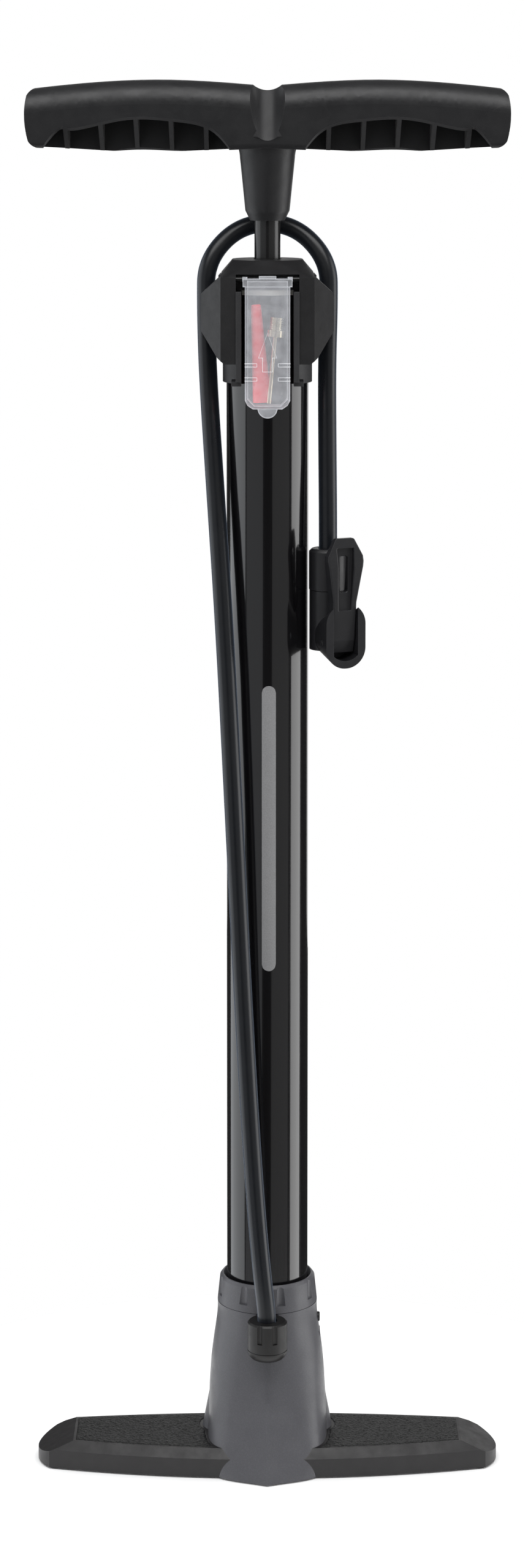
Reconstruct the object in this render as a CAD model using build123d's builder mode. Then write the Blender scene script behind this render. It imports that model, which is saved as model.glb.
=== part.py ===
from build123d import *
import os
from math import cos, radians, sin, tan

# Floor pump for bicycle tyres, in millimetres. +Z is up, the barrel stands on the Z axis,
# the floor is z = 0 and the front of the pump faces -Y.

os.makedirs("parts", exist_ok=True)

# ---------------------------------------------------------------- driving dimensions
FIT = 0.05  # radial clearance of a running fit
GAP = 0.3  # clearance between separate moving pieces

BARREL_R = 19.0
BARREL_BORE_R = 17.5
BARREL_BOTTOM_Z = 71.0
BARREL_TOP_Z = 552.0

ROD_R = 6.0
ROD_BORE_R = 5.0
ROD_BOTTOM_Z = 88.0
ROD_TOP_Z = 640.0
HANDLE_PIN_Z = 600.0  # cross pin of rod and handle

SOLE_Z = 0.8  # underside of the base, clear of the floor by the rubber pads
WEB_Z = 3.4  # top of the web that joins the two foot rests under the tower
TOWER_TOP_Z = 75.0
SOCKET_FLOOR_Z = 69.0
SOCKET_NECK_R = 20.8
SOCKET_NECK_Z = 84.0

CHAMBER_R = 5.0
CHAMBER_BOTTOM_Z = 50.0
CHAMBER_TOP_Z = 64.0
SEAT_HOLE_R = 2.2
SEAT_THREAD_R = 9.0
BALL_R = 3.5

ELBOW_Y = -31.0
ELBOW_R = 9.2
ELBOW_BOTTOM_Z = 56.5
ELBOW_TOP_Z = 75.0
ELBOW_BAND_Z = 61.2
OUTLET_Z = 61.5
AIRWAY_R = 1.8
STUB_COLLAR_R = 4.5
STUB_R = 3.2
SEAL_GROOVE_Y = 19.0

HOSE_R = 4.25

CAP_BOTTOM_Z = 521.5
CAP_SHOULDER_Z = 561.0
CAP_TOP_Z = 567.8
CAP_COLLAR_R = 22.6
PANEL_Y = -31.2

CASE_HINGE_Y = -29.3
CASE_HINGE_Z = 560.0
CASE_HALF_WIDTH = 10.25
CASE_FRONT_Y = -34.3
CASE_BACK_Y = -20.3
CASE_BOTTOM_Z = 501.4
CASE_TOP_Z = 560.3

HANDLE_HALF_LENGTH = 110.5
HANDLE_HALF_DEPTH = 15.0

HEAD_X = 28.0
HEAD_Y = -6.0
HEAD_YAW = 24.0
PIVOT_FORWARD = 13.0
PIVOT_Z = 392.5
VALVE_Z = 393.5

# ---------------------------------------------------------------- directions of the pump head
HEAD_RIGHT = Vector(cos(radians(HEAD_YAW)), sin(radians(HEAD_YAW)), 0)
HEAD_FRONT = Vector(sin(radians(HEAD_YAW)), -cos(radians(HEAD_YAW)), 0)


def head_level(z):
    """Horizontal plane of the pump head at height z, centred on the hose, local -y to its front."""
    return Plane(origin=(HEAD_X, HEAD_Y, z), x_dir=HEAD_RIGHT, z_dir=(0, 0, 1))


def head_facing(forward, z=0):
    """Upright plane across the pump head, facing its front; local x is right and local y is up."""
    origin = Vector(HEAD_X, HEAD_Y, z) + HEAD_FRONT * forward
    return Plane(origin=origin, x_dir=HEAD_RIGHT, z_dir=HEAD_FRONT)


def head_side(right=0):
    """Upright plane along the pump head, facing its right; local x is back and local y is up."""
    origin = Vector(HEAD_X, HEAD_Y, 0) + HEAD_RIGHT * right
    return Plane(origin=origin, x_dir=HEAD_FRONT * -1, z_dir=HEAD_RIGHT)


# ---------------------------------------------------------------- base tower
# Each level: height, reach of the ridge in front and behind, a point between the ridge and the
# side, half width, and the slope of the outline at the ridge in degrees.
TOWER_LEVELS = [
    (SOLE_Z, 45.0, 20.9, 36.2, 28.4, 25),
    (8.0, 41.4, 20.6, 34.0, 28.3, 22),
    (18.0, 36.6, 20.0, 29.4, 28.0, 20),
    (30.0, 32.0, 19.3, 24.6, 27.5, 16),
    (44.0, 28.2, 18.7, 20.6, 26.7, 11),
    (58.0, 25.4, 17.7, 17.9, 25.1, 5),
    (TOWER_TOP_Z, 23.5, 16.6, 16.6, 23.5, 0),
]
TOWER_WALL = 3.0


def tower_outline(level, inset):
    """The closed outline of one level of the tower, inset by a wall thickness."""
    height, ridge, mid_x, mid_y, side, slope = level
    with BuildLine() as outline:
        Spline(
            (0, inset - ridge),
            (mid_x - inset * 0.7, inset * 0.7 - mid_y),
            (side - inset, 0),
            tangents=[(cos(radians(slope)), sin(radians(slope))), (0, 1)],
        )
        mirror(about=Plane.YZ)
        mirror(about=Plane.XZ)
    return outline.edges()


with BuildPart() as tower_form:
    for tower_level in TOWER_LEVELS:
        with BuildSketch(Plane.XY.offset(tower_level[0])):
            make_face(tower_outline(tower_level, 0))
    loft()
    # flared skirts where the tower meets the foot rests
    with BuildSketch(Plane.XY.offset(SOLE_Z)):
        Ellipse(33.0, 20.0)
    with BuildSketch(Plane.XY.offset(40)):
        Ellipse(25.6, 14.0)
    loft()

with BuildPart() as tower_core:
    for tower_level in TOWER_LEVELS[:-1]:
        with BuildSketch(Plane.XY.offset(tower_level[0])):
            make_face(tower_outline(tower_level, TOWER_WALL))
    loft()

# ---------------------------------------------------------------- outline of the foot rests
FOOT_FRONT = 35.5
FOOT_FRONT_CORNER = (102.5, -22.7)
FOOT_TIP = (108.3, -7.0)
FOOT_BACK_CORNER = (97.0, 11.5)
FOOT_BACK = 18.0
FOOT_EDGE_Z = 9.4
FOOT_TOP_Z = 13.3


def foot_outline():
    """The closed outline of both foot rests, seen from above."""
    front_x, front_y = FOOT_FRONT_CORNER
    back_x, back_y = FOOT_BACK_CORNER
    with BuildLine() as outline:
        ThreePointArc((-front_x, front_y), (0, -FOOT_FRONT), (front_x, front_y))
        ThreePointArc((front_x, front_y), FOOT_TIP, (back_x, back_y))
        ThreePointArc((back_x, back_y), (0, FOOT_BACK), (-back_x, back_y))
        ThreePointArc((-back_x, back_y), (-FOOT_TIP[0], FOOT_TIP[1]), (-front_x, front_y))
    return outline.edges()


BASE_SCREW_SPOTS = [(-14, -13), (14, -13), (-14, 10), (14, 10)]
BASE_SCREW_R = 1.5
BASE_SCREW_HEAD_R = 3.0
SIDE_SCREW_Z = 66.0
SIDE_SCREW_R = 1.5
SIDE_SCREW_START_X = 12.0
SIDE_SCREW_HEX_R = 1.1
SIDE_SCREW_HEX_DEPTH = 0.8
SIDE_SCREW_HEAD_R = 2.3
SIDE_SCREW_SEAT_X = 23.2
SIDE_SCREW_END_X = 24.9

with BuildPart() as base_tower:
    add(tower_form.part)
    # hollow underside, with a boss round the valve chamber and four screw posts
    add(tower_core.part, mode=Mode.SUBTRACT)
    with BuildSketch(Plane.XY.offset(46)):
        Circle(10)
    extrude(amount=14)
    with BuildSketch(Plane.XY.offset(54)):
        with Locations((0, -14)):
            Rectangle(15, 22)
    extrude(amount=6)
    with BuildSketch(Plane.XY.offset(54)):
        with Locations((16, 0)):
            Rectangle(18, 8)
    extrude(amount=6)
    with BuildSketch(Plane.XY.offset(WEB_Z)):
        with Locations(*BASE_SCREW_SPOTS):
            Circle(4)
    extrude(amount=55)
    # round neck that the barrel stands in
    with BuildSketch(Plane.XY.offset(TOWER_TOP_Z)):
        Circle(SOCKET_NECK_R)
    extrude(amount=SOCKET_NECK_Z - TOWER_TOP_Z)
    with BuildSketch(Plane.XY.offset(SOCKET_FLOOR_Z)):
        Circle(BARREL_R)
    extrude(amount=SOCKET_NECK_Z - SOCKET_FLOOR_Z, mode=Mode.SUBTRACT)
    # threaded hole of the valve seat and the chamber below it
    with BuildSketch(Plane.XY.offset(CHAMBER_TOP_Z)):
        Circle(SEAT_THREAD_R)
    extrude(amount=SOCKET_FLOOR_Z - CHAMBER_TOP_Z, mode=Mode.SUBTRACT)
    with BuildSketch(Plane.XY.offset(CHAMBER_BOTTOM_Z)):
        Circle(CHAMBER_R)
    extrude(amount=CHAMBER_TOP_Z - CHAMBER_BOTTOM_Z, mode=Mode.SUBTRACT)
    # upright pocket that the hose elbow nestles in, and its stepped outlet hole
    with BuildSketch(Plane.XY.offset(ELBOW_BOTTOM_Z - GAP)):
        with Locations((0, ELBOW_Y)):
            Circle(ELBOW_R + GAP)
    extrude(amount=40, mode=Mode.SUBTRACT)
    with BuildSketch(Plane.XZ.offset(SEAL_GROOVE_Y)):
        with Locations((0, OUTLET_Z)):
            Circle(STUB_COLLAR_R)
    extrude(amount=10, mode=Mode.SUBTRACT)
    with BuildSketch(Plane.XZ.offset(12)):
        with Locations((0, OUTLET_Z)):
            Circle(STUB_R)
    extrude(amount=10, mode=Mode.SUBTRACT)
    with BuildSketch(Plane.XZ):
        with Locations((0, OUTLET_Z)):
            Circle(AIRWAY_R)
    extrude(amount=14, mode=Mode.SUBTRACT)
    # holes of the side screw and of the four screws from below
    with BuildSketch(Plane.YZ.offset(12)):
        with Locations((0, SIDE_SCREW_Z)):
            Circle(SIDE_SCREW_R)
    extrude(amount=20, mode=Mode.SUBTRACT)
    with BuildSketch(Plane.YZ.offset(SIDE_SCREW_SEAT_X)):
        with Locations((0, SIDE_SCREW_Z)):
            Circle(SIDE_SCREW_HEAD_R + 0.2)
    extrude(amount=6, mode=Mode.SUBTRACT)
    with BuildSketch(Plane.XY.offset(WEB_Z)):
        with Locations(*BASE_SCREW_SPOTS):
            Circle(BASE_SCREW_R)
    extrude(amount=14, mode=Mode.SUBTRACT)
    # room for the web of the foot rests
    with BuildSketch(Plane.XY):
        make_face(foot_outline())
    extrude(amount=WEB_Z, mode=Mode.SUBTRACT)
base_tower.part.label = "base_tower"
export_step(base_tower.part, "parts/base_tower.step")

# ---------------------------------------------------------------- foot rests
PAD_R = 3.2
PAD_TOP_Z = 2.0
PAD_SPOTS = [(-99.6, -19.6), (99.6, -19.6), (-95.5, 6.8), (95.5, 6.8)]
TIP_FACET_X = 91.2
TIP_FACET_DROP = 0.417  # fall of the tip facet for each millimetre outwards

# room for the tower, which stands on the web between the rests
with BuildPart() as tower_room:
    add(tower_form.part)
    with BuildSketch(Plane.XY):
        Rectangle(200, 200)
    extrude(amount=WEB_Z, mode=Mode.SUBTRACT)

with BuildPart() as foot_plate:
    with BuildSketch(Plane.XY.offset(SOLE_Z)):
        make_face(foot_outline())
    extrude(amount=FOOT_EDGE_Z - SOLE_Z)
    with BuildSketch(Plane.XY.offset(FOOT_EDGE_Z)):
        make_face(foot_outline())
    extrude(amount=FOOT_TOP_Z - FOOT_EDGE_Z, taper=45)
    # sloping facet on each tip
    with BuildSketch(Plane.XZ):
        with BuildLine():
            facet_run = 30
            Polyline(
                (TIP_FACET_X, FOOT_TOP_Z),
                (TIP_FACET_X + facet_run, FOOT_TOP_Z - facet_run * TIP_FACET_DROP),
                (TIP_FACET_X + facet_run, FOOT_TOP_Z + 5),
                (TIP_FACET_X, FOOT_TOP_Z + 5),
                close=True,
            )
        make_face()
        mirror(about=Plane.YZ)
    extrude(amount=60, both=True, mode=Mode.SUBTRACT)
    # ribbed hollows under each rest
    with BuildSketch(Plane.XY):
        make_face(foot_outline())
        offset(amount=-3.2, kind=Kind.INTERSECTION)
        for side in (-1, 1):
            for rib_x in (34.0, 52.5, 71.0):
                with Locations((side * rib_x, 0)):
                    Rectangle(2.0, 90, mode=Mode.SUBTRACT)
            with Locations((side * 110, 0)):
                Rectangle(43, 90, mode=Mode.SUBTRACT)
        Rectangle(68, 90, mode=Mode.SUBTRACT)
    extrude(amount=10, mode=Mode.SUBTRACT)
    add(tower_room.part, mode=Mode.SUBTRACT)
    # pad recesses and countersunk screw holes
    with BuildSketch(Plane.XY):
        with Locations(*PAD_SPOTS):
            Circle(PAD_R)
    extrude(amount=PAD_TOP_Z, mode=Mode.SUBTRACT)
    with BuildSketch(Plane.XY):
        with Locations(*BASE_SCREW_SPOTS):
            Circle(BASE_SCREW_HEAD_R)
    extrude(amount=SOLE_Z + 1.4, mode=Mode.SUBTRACT)
    with BuildSketch(Plane.XY):
        with Locations(*BASE_SCREW_SPOTS):
            Circle(BASE_SCREW_R)
    extrude(amount=WEB_Z + 1, mode=Mode.SUBTRACT)
foot_plate.part.label = "foot_plate"
export_step(foot_plate.part, "parts/foot_plate.step")

with BuildPart() as foot_pads:
    with BuildSketch(Plane.XY):
        with Locations(*PAD_SPOTS):
            Circle(PAD_R)
    extrude(amount=PAD_TOP_Z)
    chamfer(foot_pads.edges().group_by(Axis.Z)[0], 0.4)
foot_pads.part.label = "foot_pads"
export_step(foot_pads.part, "parts/foot_pads.step")

with BuildPart() as base_screws:
    with BuildSketch(Plane.XY.offset(SOLE_Z)):
        with Locations(*BASE_SCREW_SPOTS):
            Circle(BASE_SCREW_HEAD_R)
    extrude(amount=1.4)
    with BuildSketch(Plane.XY.offset(SOLE_Z)):
        with Locations(*BASE_SCREW_SPOTS):
            Circle(BASE_SCREW_R)
    extrude(amount=15)
    with BuildSketch(Plane.XY.offset(SOLE_Z)):
        with Locations(*BASE_SCREW_SPOTS):
            RegularPolygon(1.2, 6)
    extrude(amount=1.0, mode=Mode.SUBTRACT)
base_screws.part.label = "base_screws"
export_step(base_screws.part, "parts/base_screws.step")

with BuildPart() as side_screw:
    with BuildSketch(Plane.YZ.offset(SIDE_SCREW_START_X)):
        with Locations((0, SIDE_SCREW_Z)):
            Circle(SIDE_SCREW_R)
    extrude(amount=SIDE_SCREW_SEAT_X - SIDE_SCREW_START_X)
    with BuildSketch(Plane.YZ.offset(SIDE_SCREW_SEAT_X)):
        with Locations((0, SIDE_SCREW_Z)):
            Circle(SIDE_SCREW_HEAD_R)
    extrude(amount=SIDE_SCREW_END_X - SIDE_SCREW_SEAT_X)
    fillet(side_screw.edges().group_by(Axis.X)[-1], 0.6)
    with BuildSketch(Plane.YZ.offset(SIDE_SCREW_END_X)):
        with Locations((0, SIDE_SCREW_Z)):
            RegularPolygon(SIDE_SCREW_HEX_R, 6)
    extrude(amount=-SIDE_SCREW_HEX_DEPTH, mode=Mode.SUBTRACT)
side_screw.part.label = "side_screw"
export_step(side_screw.part, "parts/side_screw.step")

# ---------------------------------------------------------------- lock ring round the barrel
FLUTE_COUNT = 8
FLUTE_START = -119.0
RING_BOTTOM_R = 23.5
RING_TOP_R = 22.1
RING_TOP_Z = 88.0

with BuildPart() as lock_ring:
    with BuildSketch(Plane.XZ):
        with BuildLine():
            Polyline(
                (SOCKET_NECK_R + FIT, TOWER_TOP_Z + 0.2),
                (RING_BOTTOM_R, TOWER_TOP_Z + 0.2),
                (RING_TOP_R + 0.2, RING_TOP_Z - 1.4),
                (RING_TOP_R - 0.9, RING_TOP_Z),
                (BARREL_R + 1.6, RING_TOP_Z),
                (BARREL_R + GAP, RING_TOP_Z - 2.2),
                (BARREL_R + GAP, SOCKET_NECK_Z + 0.2),
                (SOCKET_NECK_R + FIT, SOCKET_NECK_Z + 0.2),
                close=True,
            )
        make_face()
    revolve(axis=Axis.Z)
    with BuildSketch(Plane.XY.offset(78.5)):
        with PolarLocations(24.4, FLUTE_COUNT, start_angle=FLUTE_START):
            Circle(2.6)
    extrude(amount=20, mode=Mode.SUBTRACT)
lock_ring.part.label = "lock_ring"
export_step(lock_ring.part, "parts/lock_ring.step")

# ---------------------------------------------------------------- barrel and foot valve
with BuildPart() as barrel_tube:
    with BuildSketch(Plane.XY.offset(BARREL_BOTTOM_Z)):
        Circle(BARREL_R)
        Circle(BARREL_BORE_R, mode=Mode.SUBTRACT)
    extrude(amount=BARREL_TOP_Z - BARREL_BOTTOM_Z)
barrel_tube.part.label = "barrel_tube"
export_step(barrel_tube.part, "parts/barrel_tube.step")

with BuildPart() as barrel_gasket:
    with BuildSketch(Plane.XY.offset(SOCKET_FLOOR_Z)):
        Circle(BARREL_R)
        Circle(BARREL_R - 3.5, mode=Mode.SUBTRACT)
    extrude(amount=BARREL_BOTTOM_Z - SOCKET_FLOOR_Z)
barrel_gasket.part.label = "barrel_gasket"
export_step(barrel_gasket.part, "parts/barrel_gasket.step")

SEAT_HEAD_R = 13.0
SEAT_HEAD_Z = 73.2

with BuildPart() as valve_seat:
    with BuildSketch(Plane.XY.offset(CHAMBER_TOP_Z)):
        Circle(SEAT_THREAD_R)
    extrude(amount=SOCKET_FLOOR_Z - CHAMBER_TOP_Z)
    with BuildSketch(Plane.XY.offset(SOCKET_FLOOR_Z)):
        Circle(SEAT_HEAD_R)
    extrude(amount=SEAT_HEAD_Z - SOCKET_FLOOR_Z)
    with BuildSketch(Plane.XY.offset(CHAMBER_TOP_Z)):
        Circle(SEAT_HOLE_R)
    extrude(amount=20, mode=Mode.SUBTRACT)
    with BuildSketch(Plane.XY.offset(SEAT_HEAD_Z - 2.4)):
        with PolarLocations(9, 2):
            Circle(1.6)
    extrude(amount=5, mode=Mode.SUBTRACT)
valve_seat.part.label = "valve_seat"
export_step(valve_seat.part, "parts/valve_seat.step")

BALL_Z = CHAMBER_TOP_Z - (BALL_R**2 - SEAT_HOLE_R**2) ** 0.5 - FIT

with BuildPart() as check_ball:
    with BuildSketch(Plane.XZ):
        with BuildLine():
            CenterArc((0, BALL_Z), BALL_R, -90, 180)
            Line((0, BALL_Z + BALL_R), (0, BALL_Z - BALL_R))
        make_face()
    revolve(axis=Axis.Z)
check_ball.part.label = "check_ball"
export_step(check_ball.part, "parts/check_ball.step")

SPRING_WIRE_R = 0.35
SPRING_R = 2.6
SPRING_HEIGHT = BALL_Z - BALL_R - CHAMBER_BOTTOM_Z - 2 * SPRING_WIRE_R - 0.2

with BuildPart() as check_spring:
    with BuildLine():
        coil = Helix(
            pitch=SPRING_HEIGHT / 4,
            height=SPRING_HEIGHT,
            radius=SPRING_R,
            center=(0, 0, CHAMBER_BOTTOM_Z + SPRING_WIRE_R + 0.1),
        )
    with BuildSketch(Plane(origin=coil @ 0, z_dir=coil % 0)):
        Circle(SPRING_WIRE_R)
    sweep(is_frenet=True)
check_spring.part.label = "check_spring"
export_step(check_spring.part, "parts/check_spring.step")

# ---------------------------------------------------------------- hose elbow at the foot
HOSE_FOOT_Z = 64.0
HOSE_SOCKET_R = 4.65
STUB_END_Y = -12.5
BARB_R = 3.6
BARB_BOTTOM_Z = 58.5

with BuildPart() as hose_elbow:
    with BuildSketch(Plane.XY.offset(ELBOW_BOTTOM_Z)):
        with Locations((0, ELBOW_Y)):
            Circle(ELBOW_R)
    extrude(amount=ELBOW_TOP_Z - ELBOW_BOTTOM_Z)
    fillet(hose_elbow.edges().group_by(Axis.Z)[0], 4.5)
    chamfer(hose_elbow.edges().group_by(Axis.Z)[-1], 0.8)
    # fine groove above the rounded bottom
    with BuildSketch(Plane.XY.offset(ELBOW_BAND_Z)):
        with Locations((0, ELBOW_Y)):
            Circle(ELBOW_R + 1)
            Circle(ELBOW_R - 0.25, mode=Mode.SUBTRACT)
    extrude(amount=0.4, mode=Mode.SUBTRACT)
    # stub that plugs into the tower
    with BuildSketch(Plane.XZ.offset(SEAL_GROOVE_Y + 1.2)):
        with Locations((0, OUTLET_Z)):
            Circle(STUB_COLLAR_R)
    extrude(amount=6)
    with BuildSketch(Plane.XZ.offset(-STUB_END_Y)):
        with Locations((0, OUTLET_Z)):
            Circle(STUB_R)
    extrude(amount=12)
    # socket for the hose, seat of its barb, and the airway
    with BuildSketch(Plane.XY.offset(HOSE_FOOT_Z - 1.4)):
        with Locations((0, ELBOW_Y)):
            Circle(HOSE_SOCKET_R)
    extrude(amount=20, mode=Mode.SUBTRACT)
    with BuildSketch(Plane.XY.offset(BARB_BOTTOM_Z)):
        with Locations((0, ELBOW_Y)):
            Circle(BARB_R)
    extrude(amount=20, mode=Mode.SUBTRACT)
    with BuildSketch(Plane.XZ.offset(-STUB_END_Y)):
        with Locations((0, OUTLET_Z)):
            Circle(AIRWAY_R)
    extrude(amount=-STUB_END_Y + 6, mode=Mode.SUBTRACT)
    # two small spanner notches in the front of the body
    with BuildSketch(Plane.XY.offset(66)):
        with Locations((0, ELBOW_Y)):
            with PolarLocations(ELBOW_R + 0.5, 2, start_angle=-113, angular_range=92):
                Circle(1.3)
    extrude(amount=10, mode=Mode.SUBTRACT)
hose_elbow.part.label = "hose_elbow"
export_step(hose_elbow.part, "parts/hose_elbow.step")

with BuildPart() as elbow_barb:
    with BuildSketch(Plane.XY.offset(BARB_BOTTOM_Z)):
        with Locations((0, ELBOW_Y)):
            Circle(BARB_R)
            Circle(AIRWAY_R, mode=Mode.SUBTRACT)
    extrude(amount=HOSE_FOOT_Z - BARB_BOTTOM_Z)
    with BuildSketch(Plane.XZ.offset(ELBOW_Y * -0.5)):
        with Locations((0, OUTLET_Z)):
            Circle(AIRWAY_R)
    extrude(amount=-ELBOW_Y * 0.5, mode=Mode.SUBTRACT)
elbow_barb.part.label = "elbow_barb"
export_step(elbow_barb.part, "parts/elbow_barb.step")

with BuildPart() as elbow_seal:
    with BuildSketch(Plane.XZ.offset(SEAL_GROOVE_Y)):
        with Locations((0, OUTLET_Z)):
            Circle(STUB_COLLAR_R)
            Circle(STUB_R, mode=Mode.SUBTRACT)
    extrude(amount=1.2)
elbow_seal.part.label = "elbow_seal"
export_step(elbow_seal.part, "parts/elbow_seal.step")

# ---------------------------------------------------------------- hose
# Up along the front of the barrel, over the bracket behind the rod, and down to the head.
HOSE_HEAD_Z = 424.0
HOSE_ROUTE = [
    (0.0, ELBOW_Y, HOSE_FOOT_Z),
    (0.0, ELBOW_Y, 76.0),
    (-2.4, -30.8, 96.0),
    (-6.0, -29.2, 136.0),
    (-10.6, -26.2, 212.0),
    (-15.6, -22.6, 316.0),
    (-19.8, -17.6, 400.0),
    (-24.4, -7.6, 468.0),
    (-27.6, 2.6, 516.0),
    (-28.4, 6.3, 546.0),
    (-28.2, 9.0, 567.0),
    (-11.9, 16.6, 583.4),
    (11.9, 16.6, 583.4),
    (28.2, 9.0, 567.0),
    (28.4, 6.2, 546.0),
    (27.5, 3.0, 518.0),
    (27.7, -2.2, 480.0),
    (HEAD_X, HEAD_Y, 446.0),
    (HEAD_X, HEAD_Y, HOSE_HEAD_Z),
]


def route_radii(points):
    """The largest tangent arc at each inner point: 0.45 of the shorter run over tan(half turn)."""
    radii = []
    for before, here, after in zip(points, points[1:], points[2:]):
        run_in = Vector(here) - Vector(before)
        run_out = Vector(after) - Vector(here)
        half_turn = radians(run_in.get_angle(run_out)) / 2
        radii.append(0.45 * min(run_in.length, run_out.length) / tan(half_turn))
    return radii


hose_radii = route_radii(HOSE_ROUTE)
print("hose radii", [round(radius, 1) for radius in hose_radii])

with BuildPart() as hose:
    with BuildLine() as hose_line:
        FilletPolyline(*HOSE_ROUTE, radius=hose_radii)
    hose_path = hose_line.wire()
    with BuildSketch(Plane(origin=hose_path @ 0, z_dir=hose_path % 0)):
        Circle(HOSE_R)
    sweep(path=hose_path)
print("hose length", round(hose_path.length, 1))
hose.part.label = "hose"
export_step(hose.part, "parts/hose.step")

# ---------------------------------------------------------------- cap on top of the barrel
BUSH_BOTTOM_Z = 545.0
BUSH_TOP_Z = 554.5
WIPER_R = 9.5
WIPER_TOP_Z = 560.0
RAIL_OUTER_X = 14.4
RAIL_INNER_X = 11.9
WINDOW_TOP_Z = 562.2
PANEL_HALF_WIDTH = 21.3
WING_X = 30.3
WING_Y = -14.0
HOOK_BOTTOM_Z = 531.0
HOOK_TOP_Z = 549.0
HINGE_PIN_R = 1.1
HINGE_PIN_END_X = 15.6

with BuildPart() as top_cap:
    with BuildSketch(Plane.XY.offset(CAP_BOTTOM_Z)):
        Circle(CAP_COLLAR_R)
        with BuildLine():
            Polyline(
                (-PANEL_HALF_WIDTH, PANEL_Y),
                (PANEL_HALF_WIDTH, PANEL_Y),
                (WING_X, WING_Y),
                (WING_X - 2.0, WING_Y + 1.4),
                (PANEL_HALF_WIDTH - 2.0, PANEL_Y + 5.5),
                (17.5, -14.0),
                (-17.5, -14.0),
                (2.0 - PANEL_HALF_WIDTH, PANEL_Y + 5.5),
                (2.0 - WING_X, WING_Y + 1.4),
                (-WING_X, WING_Y),
                close=True,
            )
        make_face()
    extrude(amount=CAP_SHOULDER_Z - CAP_BOTTOM_Z)
    # bevelled top
    with BuildSketch(Plane.XY.offset(CAP_SHOULDER_Z)):
        with Locations((0, -5.1)):
            RectangleRounded(2 * PANEL_HALF_WIDTH, 52.2, 3.0)
    with BuildSketch(Plane.XY.offset(CAP_TOP_Z)):
        with Locations((0, -2.0)):
            RectangleRounded(32.2, 32.0, 13.0)
    loft()
    # outline seen from the front
    with BuildSketch(Plane.XZ):
        with BuildLine():
            Polyline(
                (16.1, CAP_TOP_Z),
                (21.5, CAP_SHOULDER_Z + 0.2),
                (WING_X, 552.6),
                (WING_X, 535.5),
                (23.0, 524.4),
                (19.6, CAP_BOTTOM_Z),
                (-19.6, CAP_BOTTOM_Z),
                (-23.0, 524.4),
                (-WING_X, 535.5),
                (-WING_X, 552.6),
                (-21.5, CAP_SHOULDER_Z + 0.2),
                (-16.1, CAP_TOP_Z),
                close=True,
            )
        make_face()
    extrude(amount=60, both=True, mode=Mode.INTERSECT)
    # collar down to its own lower edge
    with BuildSketch(Plane.XY.offset(CAP_BOTTOM_Z)):
        Circle(CAP_COLLAR_R)
    extrude(amount=30)
    # fingers before and behind the hose on each side
    for side in (-1, 1):
        with BuildSketch(Plane.XY.offset(HOOK_BOTTOM_Z)):
            with Locations((side * 22.5, 13.2)):
                Rectangle(14.5, 2.8)
            with Locations((side * 22.5, -2.2)):
                Rectangle(14.5, 2.4)
        extrude(amount=HOOK_TOP_Z - HOOK_BOTTOM_Z)
    # bore for the barrel, the bush, the wiper and the rod
    with BuildSketch(Plane.XY.offset(CAP_BOTTOM_Z - 1)):
        Circle(BARREL_R)
    extrude(amount=BUSH_TOP_Z - CAP_BOTTOM_Z + 1, mode=Mode.SUBTRACT)
    with BuildSketch(Plane.XY.offset(BUSH_TOP_Z)):
        Circle(WIPER_R)
    extrude(amount=WIPER_TOP_Z - BUSH_TOP_Z, mode=Mode.SUBTRACT)
    with BuildSketch(Plane.XY.offset(WIPER_TOP_Z)):
        Circle(ROD_R + 0.6)
    extrude(amount=20, mode=Mode.SUBTRACT)
    # window for the accessory case and its holder, and the holes of the case's pins
    with BuildSketch(Plane.XY.offset(CAP_BOTTOM_Z - 1)):
        with Locations((0, -30)):
            Rectangle(2 * RAIL_OUTER_X, 30)
    extrude(amount=BUSH_TOP_Z - CAP_BOTTOM_Z + 1, mode=Mode.SUBTRACT)
    with BuildSketch(Plane.XY.offset(BUSH_TOP_Z)):
        with Locations((0, -34.8)):
            Rectangle(2 * RAIL_OUTER_X, 30)
    extrude(amount=WINDOW_TOP_Z - BUSH_TOP_Z, mode=Mode.SUBTRACT)
    with BuildSketch(Plane.YZ):
        with Locations((CASE_HINGE_Y, CASE_HINGE_Z)):
            Circle(HINGE_PIN_R + FIT)
    extrude(amount=HINGE_PIN_END_X + 0.3, both=True, mode=Mode.SUBTRACT)
top_cap.part.label = "top_cap"
export_step(top_cap.part, "parts/top_cap.step")

with BuildPart() as rod_bush:
    with BuildSketch(Plane.XY.offset(BUSH_BOTTOM_Z)):
        Circle(BARREL_BORE_R)
    extrude(amount=BARREL_TOP_Z - BUSH_BOTTOM_Z)
    with BuildSketch(Plane.XY.offset(BARREL_TOP_Z)):
        Circle(BARREL_R - 0.2)
    extrude(amount=BUSH_TOP_Z - BARREL_TOP_Z)
    with BuildSketch(Plane.XY.offset(BUSH_BOTTOM_Z)):
        Circle(ROD_R + FIT)
    extrude(amount=20, mode=Mode.SUBTRACT)
rod_bush.part.label = "rod_bush"
export_step(rod_bush.part, "parts/rod_bush.step")

with BuildPart() as rod_wiper:
    with BuildSketch(Plane.XZ):
        with BuildLine():
            Polyline(
                (ROD_R + FIT, BUSH_TOP_Z + 1.4),
                (ROD_R + 1.2, BUSH_TOP_Z),
                (WIPER_R, BUSH_TOP_Z),
                (WIPER_R, WIPER_TOP_Z),
                (ROD_R + 1.2, WIPER_TOP_Z),
                (ROD_R + FIT, WIPER_TOP_Z - 1.4),
                close=True,
            )
        make_face()
    revolve(axis=Axis.Z)
rod_wiper.part.label = "rod_wiper"
export_step(rod_wiper.part, "parts/rod_wiper.step")

# ---------------------------------------------------------------- holder of the accessory case
HOLDER_BOTTOM_Z = 511.3
HOLDER_RING_TOP_Z = CAP_BOTTOM_Z - 0.1
RAIL_BOTTOM_Z = 513.4
RAIL_TOP_Z = 554.4
RAIL_FRONT_Y = -32.0

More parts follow.
